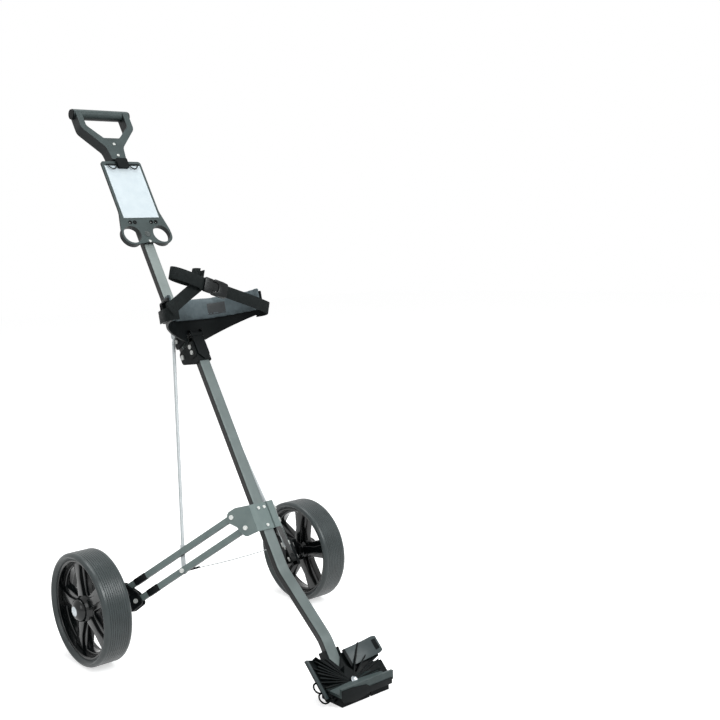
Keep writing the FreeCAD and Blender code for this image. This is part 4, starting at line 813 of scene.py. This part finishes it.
def makePatch(settings):
    high = settings["high"] - settings["low"]
    middle = Matrix.Translation(mm(0, 0, (settings["high"] + settings["low"]) / 2))
    route = arcRoute(settings["radius"], settings["first"], settings["last"], 28)
    patch = drawOutline("padPatch", [route], half=high / 2, closed=False)
    pick(patch)
    bpy.ops.object.mode_set(mode="EDIT")
    bpy.ops.mesh.select_all(action="SELECT")
    bpy.ops.mesh.subdivide(number_cuts=3)
    bpy.ops.object.mode_set(mode="OBJECT")
    placePiece(patch, cradleFrame @ middle)
    addModifier(patch, "SHRINKWRAP", target=pad, offset=0.0002)
    addModifier(patch, "SOLIDIFY", thickness=settings["thick"] / 1000, offset=0.0)
    roundEdges(patch, 0.3, 2, 50)
    finishPiece(patch, "patchVinyl", "upper_mast")
    # stitches run round the patch a little inside its edge
    edgeTurn = settings["inset"] / settings["radius"]
    first, last = math.radians(settings["first"]) + edgeTurn, math.radians(settings["last"]) - edgeTurn
    bottom, top = settings["low"] + settings["inset"], settings["high"] - settings["inset"]
    count = int((last - first) * settings["radius"] / settings["stitch"])
    rows = int((top - bottom) / settings["stitch"])
    spots = []
    for i in range(count + 1):
        turn = first + (last - first) * i / count
        spots += [(turn, bottom, 0), (turn, top, 0)]
    for j in range(1, rows):
        up = bottom + (top - bottom) * j / rows
        spots += [(first, up, 90), (last, up, 90)]
    stitches = []
    form = roundedBox("stitchForm", (2.1, 0.5, 0.5), (0, 0, 0), 0.2)
    for turn, up, lean in spots:
        stitch = copyPiece(form, "stitch")
        place = (Matrix.Translation(mm(0, -106, up)) @ Matrix.Rotation(-turn, 4, "Z")
                 @ Matrix.Translation(mm(0, 104.9, 0)) @ Matrix.Rotation(math.radians(lean), 4, "Y"))
        stitch.matrix_world = cradleFrame @ place
        stitches.append(stitch)
    bpy.data.objects.remove(form)
    pick(*stitches)
    bpy.ops.object.transform_apply(location=True, rotation=True, scale=True)
    seam = joinPieces("padStitching", stitches)
    addModifier(seam, "SHRINKWRAP", target=patch, offset=0.0001, wrap_mode="OUTSIDE")
    finishPiece(seam, "blackNylon", "upper_mast")


makePatch(patchSettings)
print("pad patch made")


# straps: webbing round each wing, across the front to the buckle, and the slack beyond its slider
strapSettings = {"width": 25, "thick": 1.8, "radius": 128.2, "low": -8}


def makeStraps(settings):
    width, thick = settings["width"], settings["thick"]
    tip = arcRoute(settings["radius"], 64, 82, 3) + [(124.2, -96.3), (115.2, -102.3), (104.2, -103.3)]
    wrapPlace = cradleFrame @ Matrix.Translation(mm(0, 0, settings["low"] + width / 2))
    front = [(23.8, 0), (45, -0.6), (75, -1.6), (105, -1.2), (122, 0), (131, 1), (134.5, 4), (136.8, 14),
             (136, 27), (133, 42)]
    strap = band("strapRight", front, width, thick, frontFrame)
    finishPiece(strap, "webbing", "upper_mast", 50)
    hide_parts("strap_right")
    mirrored = [(-x, y) for x, y in reversed(tip)]
    left = [band("strapWrapLeft", mirrored, width, thick, wrapPlace)]
    climbEnd = frontFrame @ mm(-36, 6, 0)
    climbStart = cradleFrame @ mm(-settings["radius"] + 8, -103.3, settings["low"] + width / 2 + 10)
    along = climbEnd - climbStart
    back = (cradleFrame.to_3x3() @ Vector((0, 1, 0))).normalized()
    across = along.cross(back).normalized()
    climbTurn = Matrix((along.normalized(), across.cross(along).normalized(), across)).transposed().to_4x4()
    climbPlace = Matrix.Translation(climbStart) @ climbTurn
    reach = along.length * 1000
    left.append(band("strapClimb", [(-4, 0), (reach * 0.25, 0.5), (reach * 0.55, 3.5), (reach * 0.8, 1.2),
                                    (reach, 0.6)], width, thick, climbPlace))
    loopA = [(-32.4, 0), (-45, -2), (-62, -4), (-84, -4.5), (-100, -2), (-108, 3), (-108, 9), (-100, 13.5),
             (-84, 14.5), (-62, 12), (-48, 8.6), (-36, 7)]
    left.append(band("strapLoop", loopA, width, thick, frontFrame))
    loopB = [(-40, 7), (-44, 11), (-49, 18), (-49, 25), (-42, 28), (-34, 25), (-31, 17), (-30, 8)]
    left.append(band("strapStanding", loopB, width, thick, frontFrame @ Matrix.Translation(mm(0, 0, 19))))
    slider = roundedBox("slider", (5.5, 9.5, width + 4), (-38, 3.5, 0), 1.4)
    placePiece(slider, frontFrame)
    finishPiece(slider, "blackNylon", "upper_mast")
    strap = joinPieces("strapLeft", left)
    finishPiece(strap, "webbing", "upper_mast", 50)
    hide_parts("strap_left")


makeStraps(strapSettings)
print("straps made")


# side-release buckle: socket with its mouth, tongue with its prongs and the bar that the strap goes round
buckleSettings = {"socketHalf": 5.0, "tongueHalf": 4.3, "edge": 1.5}
sideways = Matrix(((1, 0, 0, 0), (0, 0, -1, 0), (0, 1, 0, 0), (0, 0, 0, 1)))  # a drawing stood on its edge


def makeBuckle(settings):
    socketLoop = [(-12, 14.2), (-8.5, 16), (10, 16), (21, 14.8), (23, 12), (23, -12), (21, -14.8), (10, -16),
                  (-8.5, -16), (-12, -14.2), (-12, -9.6), (-5, -10), (1.0, -7), (1.6, 0), (1.0, 7), (-5, 10),
                  (-12, 9.6)]
    socket = drawOutline("buckleSocketBody", [socketLoop], half=settings["socketHalf"] - settings["edge"],
                         edge=settings["edge"], fill=True)
    placePiece(socket, frontFrame @ sideways)
    finishPiece(socket, "buckleNylon", "upper_mast")
    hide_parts("buckle_socket")
    upper = [(-32, 12.5), (-30, 14.5), (-14, 14.5), (-12.6, 13), (-12.6, 8.9), (-5.4, 9.1), (0.4, 6.2)]
    tongueLoop = upper + [(0.9, 0)] + [(x, -y) for x, y in reversed(upper)]
    tongue = drawOutline("buckleTongueBody", [tongueLoop], half=settings["tongueHalf"] - 1.2, edge=1.2,
                         fill=True)  # its guides stand in the socket's mouth
    placePiece(tongue, frontFrame @ sideways)
    finishPiece(tongue, "buckleNylon", "upper_mast")
    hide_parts("buckle_tongue")


makeBuckle(buckleSettings)
print("buckle made")


def tubePiece(name, points, radius, place=None, smooth=True):
    line = bpy.data.curves.new(name, "CURVE")
    line.dimensions = "3D"
    line.bevel_depth = radius / 1000
    line.bevel_resolution = 3
    line.use_fill_caps = True
    spline = line.splines.new("NURBS" if smooth else "POLY")
    spline.points.add(len(points) - 1)
    for point, spot in zip(spline.points, points):
        point.co = (*mm(*spot), 1)
    if smooth:
        spline.order_u = 3
        spline.use_endpoint_u = True
    piece = bpy.data.objects.new(name, line)
    scene.collection.objects.link(piece)
    pick(piece)
    bpy.ops.object.convert(target="MESH")
    piece = bpy.context.object
    if place:
        placePiece(piece, place)
    return piece


# tie wire between the lower arms, with a sleeve at each end
wireSettings = {"radius": 0.9, "sag": 3.0, "sleeve": 2.1, "sleeveLong": 34, "keep": 0.475}


def makeTieWire(settings):
    low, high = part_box("tie_wire")
    half = 1000 * high[0]
    y, z = 500 * (low[1] + high[1]), 500 * (low[2] + high[2])
    sag, out, long = settings["sag"], settings["sleeve"], settings["sleeveLong"]
    hang = ((-1, 0), (-0.7, 0.3), (-0.3, 1), (0.3, 1), (0.7, 0.3), (1, 0))
    points = [(share * half, y, z - down * sag) for share, down in hang]
    wire = tubePiece("tieWire", points, settings["radius"])
    finishPiece(wire, "whiteCable", "tie", 60)
    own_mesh(wire)
    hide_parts("tie_wire")
    ends = []
    for sign in (-1, 1):
        section = [(0, 1.0), (0, out - 0.3), (0.8, out), (long - 0.8, out), (long, out - 0.3), (long, 1.0)]
        sleeve = spinPiece("wireSleeve", section, 24)
        placePiece(sleeve, Matrix.Translation(mm(sign * half, y, z)) @ Matrix.Diagonal((-sign, 1, 1, 1)))
        ends.append(sleeve)
    sleeves = joinPieces("tieWireSleeves", ends)
    finishPiece(sleeves, "padRubber", "tie", 40)
    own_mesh(sleeves)
    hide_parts("tie_wire_sleeves")


makeTieWire(wireSettings)
print("tie wire made")


# elastic loops at the foot's left edge
elasticSettings = {"lows": (4, 24), "radius": 1.6}
loops = []
for low in elasticSettings["lows"]:
    points = [(-72, 4, low - 1), (-80, 2, low - 4), (-90, 0, low - 2), (-94, 0, low + 7), (-90, 0, low + 15),
              (-80, 2, low + 17), (-72, 4, low + 15)]
    loops.append(tubePiece("elasticLoop", points, elasticSettings["radius"], dishFrame))
elastic = joinPieces("elasticLoops", loops)
finishPiece(elastic, "elasticBlack", "mast", 60)
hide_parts("base_elastic_loops")
print("elastic loops made")


# black sleeves on the arms' outer ends, and the moulded rim and ribs of the axle brackets
armSettings = {"middle": -6.8, "height": 14.1, "depth": 10.6, "edge": 1.6, "face": 1.8, "rim": 1.3,
               "sleeves": (("Lower", "arm_lower_", 214, 241, 0), ("Upper", "arm_upper_", 226, 254, 33)),
               "ribs": (((298, 24, 0), (1.8, 58, 2.2)), ((278, 17, 0), (38, 1.8, 2.2)))}
cheekLoop = [(257.5, -11), (284, -13), (321, 2.8), (321, 59), (294, 51), (274, 46), (257, 11.5)]


def insetLoop(loop, inset):
    cx = sum(x for x, y in loop) / len(loop)
    cy = sum(y for x, y in loop) / len(loop)
    shrunk = []
    for x, y in loop:
        away = math.hypot(x - cx, y - cy)
        shrunk.append((x - (x - cx) * inset / away, y - (y - cy) * inset / away))
    return shrunk


def makeArmEnds(side, frameOfArm, settings):
    for name, body, first, last, across in settings["sleeves"]:
        size = (last - first, settings["height"], settings["depth"])
        middle = ((first + last) / 2, across, settings["middle"])
        sleeve = roundedBox("armSleeve" + name + side.capitalize(), size, middle, settings["edge"])
        placePiece(sleeve, frameOfArm)
        finishPiece(sleeve, "blackNylon", body + side)
    rimParts = [drawOutline("bracketRim", [cheekLoop, insetLoop(cheekLoop, 3.4)], half=settings["rim"] - 0.5,
                            edge=0.5, fill=True)]
    for spot, size in settings["ribs"]:
        rimParts.append(roundedBox("bracketRib", size, spot, 0.6))
    rim = joinPieces("axleBracketRim" + side.capitalize(), rimParts)
    placePiece(rim, frameOfArm @ Matrix.Translation(mm(0, 0, settings["face"] + 0.4)))
    finishPiece(rim, "blackNylon", "axle_bracket_" + side)
    low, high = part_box("catch_" + side)
    size = [1000 * (b - a) for a, b in zip(low, high)]
    middle = [500 * (a + b) for a, b in zip(low, high)]
    plate = roundedBox("catchPlate" + side.capitalize(), size, middle, 1.2)
    finishPiece(plate, "zincPlate", "catch_" + side)
    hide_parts("catch_" + side)


for side, frameOfArm in armFrames.items():
    makeArmEnds(side, frameOfArm, armSettings)
print("arm ends made")


# card plate: dark rings round the tee holes, and a flat button and a screw between the ball cups
plateSettings = {"ring": 4.6, "proud": 2.35, "button": 7.0, "below": 30.0, "screw": 3.0, "screwBelow": 49.0}


def plateSpin(name, section, spot, finish):
    turn = mastFrame.to_3x3().to_4x4() @ Matrix(((0, 0, 1, 0), (-1, 0, 0, 0), (0, 1, 0, 0), (0, 0, 0, 1)))
    piece = spinPiece(name, section, 40)
    placePiece(piece, Matrix.Translation(spot) @ turn)
    return finishPiece(piece, finish, "upper_mast", 40)


def makePlateDetails(settings):
    mounts = [mount for mount in frame["record"]["mounts"] if mount["kind"] == "bore"]
    holes = [Vector(mount["pos_m"]) for mount in mounts]
    radius = min(mount["dims"]["r_mm"] for mount in mounts)
    turn = mastFrame.to_3x3()
    out, up = (turn @ Vector((0, -1, 0))).normalized(), (turn @ Vector((0, 0, 1))).normalized()
    face = out * settings["proud"] / 1000
    ring, knob, screw = settings["ring"], settings["button"], settings["screw"]
    ringSection = [(-0.6, radius + 0.3), (0.5, radius + 0.3), (0.9, radius + 0.8), (0.9, ring - 0.4),
                   (0.5, ring), (-0.6, ring)]
    for number, hole in enumerate(holes, 1):
        plateSpin("teeRing" + str(number), ringSection, hole + face, "padRubber")
    middle = sum(holes, Vector()) / len(holes) + face
    knobSection = [(-0.6, 0.01), (-0.6, knob), (0.3, knob), (0.8, knob - 0.6), (0.8, knob - 1.6),
                   (0.4, knob - 2.2), (0.5, 0.01)]
    spot = middle - up * settings["below"] / 1000
    plateSpin("plateButton", knobSection, spot, "darkNylon")
    screwSection = [(-0.6, 0.01), (-0.6, screw), (0.8, screw), (1.6, screw * 0.6), (1.9, 0.01)]
    spot = middle - up * settings["screwBelow"] / 1000
    plateSpin("plateScrew", screwSection, spot, "boltZinc")


makePlateDetails(plateSettings)
print("card plate dressed")


# resting foot: slate wing and edge strip over the dish, folds that run to a bare badge, and a thin black
# sheet over the ledge's front
footSettings = {"bagRadius": 158, "center": -137.4, "apex": (0, 5, 22), "highest": 80, "foldReach": (68, 56),
                "foldTurns": (-20, -14, -2, 4, 20, 27, 40, 46, 58, 66), "wingTurn": 22, "badge": (0, 3.2, 22)}
badgeRing = [(0, 0.01), (0, 7), (1.6, 7), (2.4, 6.2), (1.4, 5.0), (1.4, 0.01)]
ledgeSheetLoop = [(-64, 20.2), (-60, 12), (-30, 7), (6, 13), (60, 13), (60, 24.5), (4, 24.5), (-4, 30),
             (-40, 34.5), (-64, 34.5)]


def dishBack(x):
    return footSettings["center"] + math.sqrt(footSettings["bagRadius"] ** 2 - x * x)


def dishRoute(first, last, steps, proud):
    xs = [first + (last - first) * i / steps for i in range(steps + 1)]
    return [(x * (1 - proud / footSettings["bagRadius"]), dishBack(x) - proud) for x in xs]


def dishPanel(name, first, last, low, high, finish, thick=2.4, proud=1.6, corner=0.0):
    piece = drawOutline(name, [dishRoute(first, last, 36, proud)], half=(high - low) / 2, closed=False)
    if corner:
        for vertex in piece.data.vertices:  # rounds off the outer corners
            inside = min(abs(vertex.co.x * 1000 - last), corner)
            share = 1 - (1 - math.sqrt(max(0, 1 - (1 - inside / corner) ** 2))) * 2 * corner / (high - low)
            vertex.co.z *= share
    addModifier(piece, "SOLIDIFY", thickness=thick / 1000, offset=0.0)
    roundEdges(piece, 0.7, 2, 45)
    placePiece(piece, dishFrame @ Matrix.Translation(mm(0, 0, (low + high) / 2)))
    return finishPiece(piece, finish, "mast", 45)


def makeFold(turn, side, settings):
    apex, highest = Vector(settings["apex"]), settings["highest"]
    lean = math.radians(turn)
    near, far = settings["foldReach"]
    reach = (near if turn < 40 else far) / max(math.cos(lean), 0.6)
    end = Vector((side * reach * math.cos(lean), 0, apex.z + reach * math.sin(lean)))
    if end.z > highest:
        end = apex + (end - apex) * (highest - apex.z) / (end.z - apex.z)
    end.y = dishBack(end.x) - 2.6
    start = Vector((side * 4, apex.y + 2, apex.z))
    along = (end - start).normalized()
    across = along.cross(Vector((0, 1, 0))).normalized()
    long = (end - start).length
    fold = roundedBox("dishFold", (long, 3.4, 3.2), (0, 0, 0), 1.1)
    for vertex in fold.data.vertices:  # each fold narrows to the badge
        share = 0.45 + 0.55 * (1000 * vertex.co.x / long + 0.5)
        vertex.co.z *= share * 1.25
    turned = Matrix((along, across.cross(along), across)).transposed().to_4x4()
    fold.matrix_world = dishFrame @ Matrix.Translation((start + end) / 2000) @ turned
    return fold


def makeFoot(settings):
    dishPanel("footWing", 20, 87, 49, 84, "slateNylon", proud=7.0, corner=12)
    dishPanel("footWingSlot", 77, 84, 57, 77, "padRubber", thick=1.2, proud=8.4)
    dishPanel("footWingHem", 17, 23, 48, 83, "blackNylon", thick=3.2, proud=7.2)
    dishPanel("footEdgeLeft", -86, -77, 6, 82, "slateNylon", thick=2.6)
    folds = []
    for turn in settings["foldTurns"]:
        for side in (-1, 1):
            if side < 0 or turn <= settings["wingTurn"]:  # the wing covers the upper folds on its side
                folds.append(makeFold(turn, side, settings))
    pick(*folds)
    bpy.ops.object.transform_apply(location=True, rotation=True, scale=True)
    finishPiece(joinPieces("dishFolds", folds), "blackNylon", "mast", 50)
    faceOut = Matrix(((0, -1, 0, 0), (-1, 0, 0, 0), (0, 0, 1, 0), (0, 0, 0, 1)))  # turned to face the bag
    badge = spinPiece("footBadge", badgeRing, 40)
    placePiece(badge, dishFrame @ Matrix.Translation(mm(*settings["badge"])) @ faceOut)
    finishPiece(badge, "hubSilver", "mast", 40)
    # a thin black sheet laid over the ledge's front, covering its left part and a low strip to the right
    darkSheet = drawOutline("ledgeDarkSheet", [ledgeSheetLoop], half=0.4, edge=0.5, fill=True)
    placePiece(darkSheet, Matrix.Translation(mm(0, -33.5, 0)) @ sideways)
    finishPiece(darkSheet, "blackNylon", "mast", 40)


makeFoot(footSettings)
print("foot made")

low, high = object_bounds()
print("all pieces made")
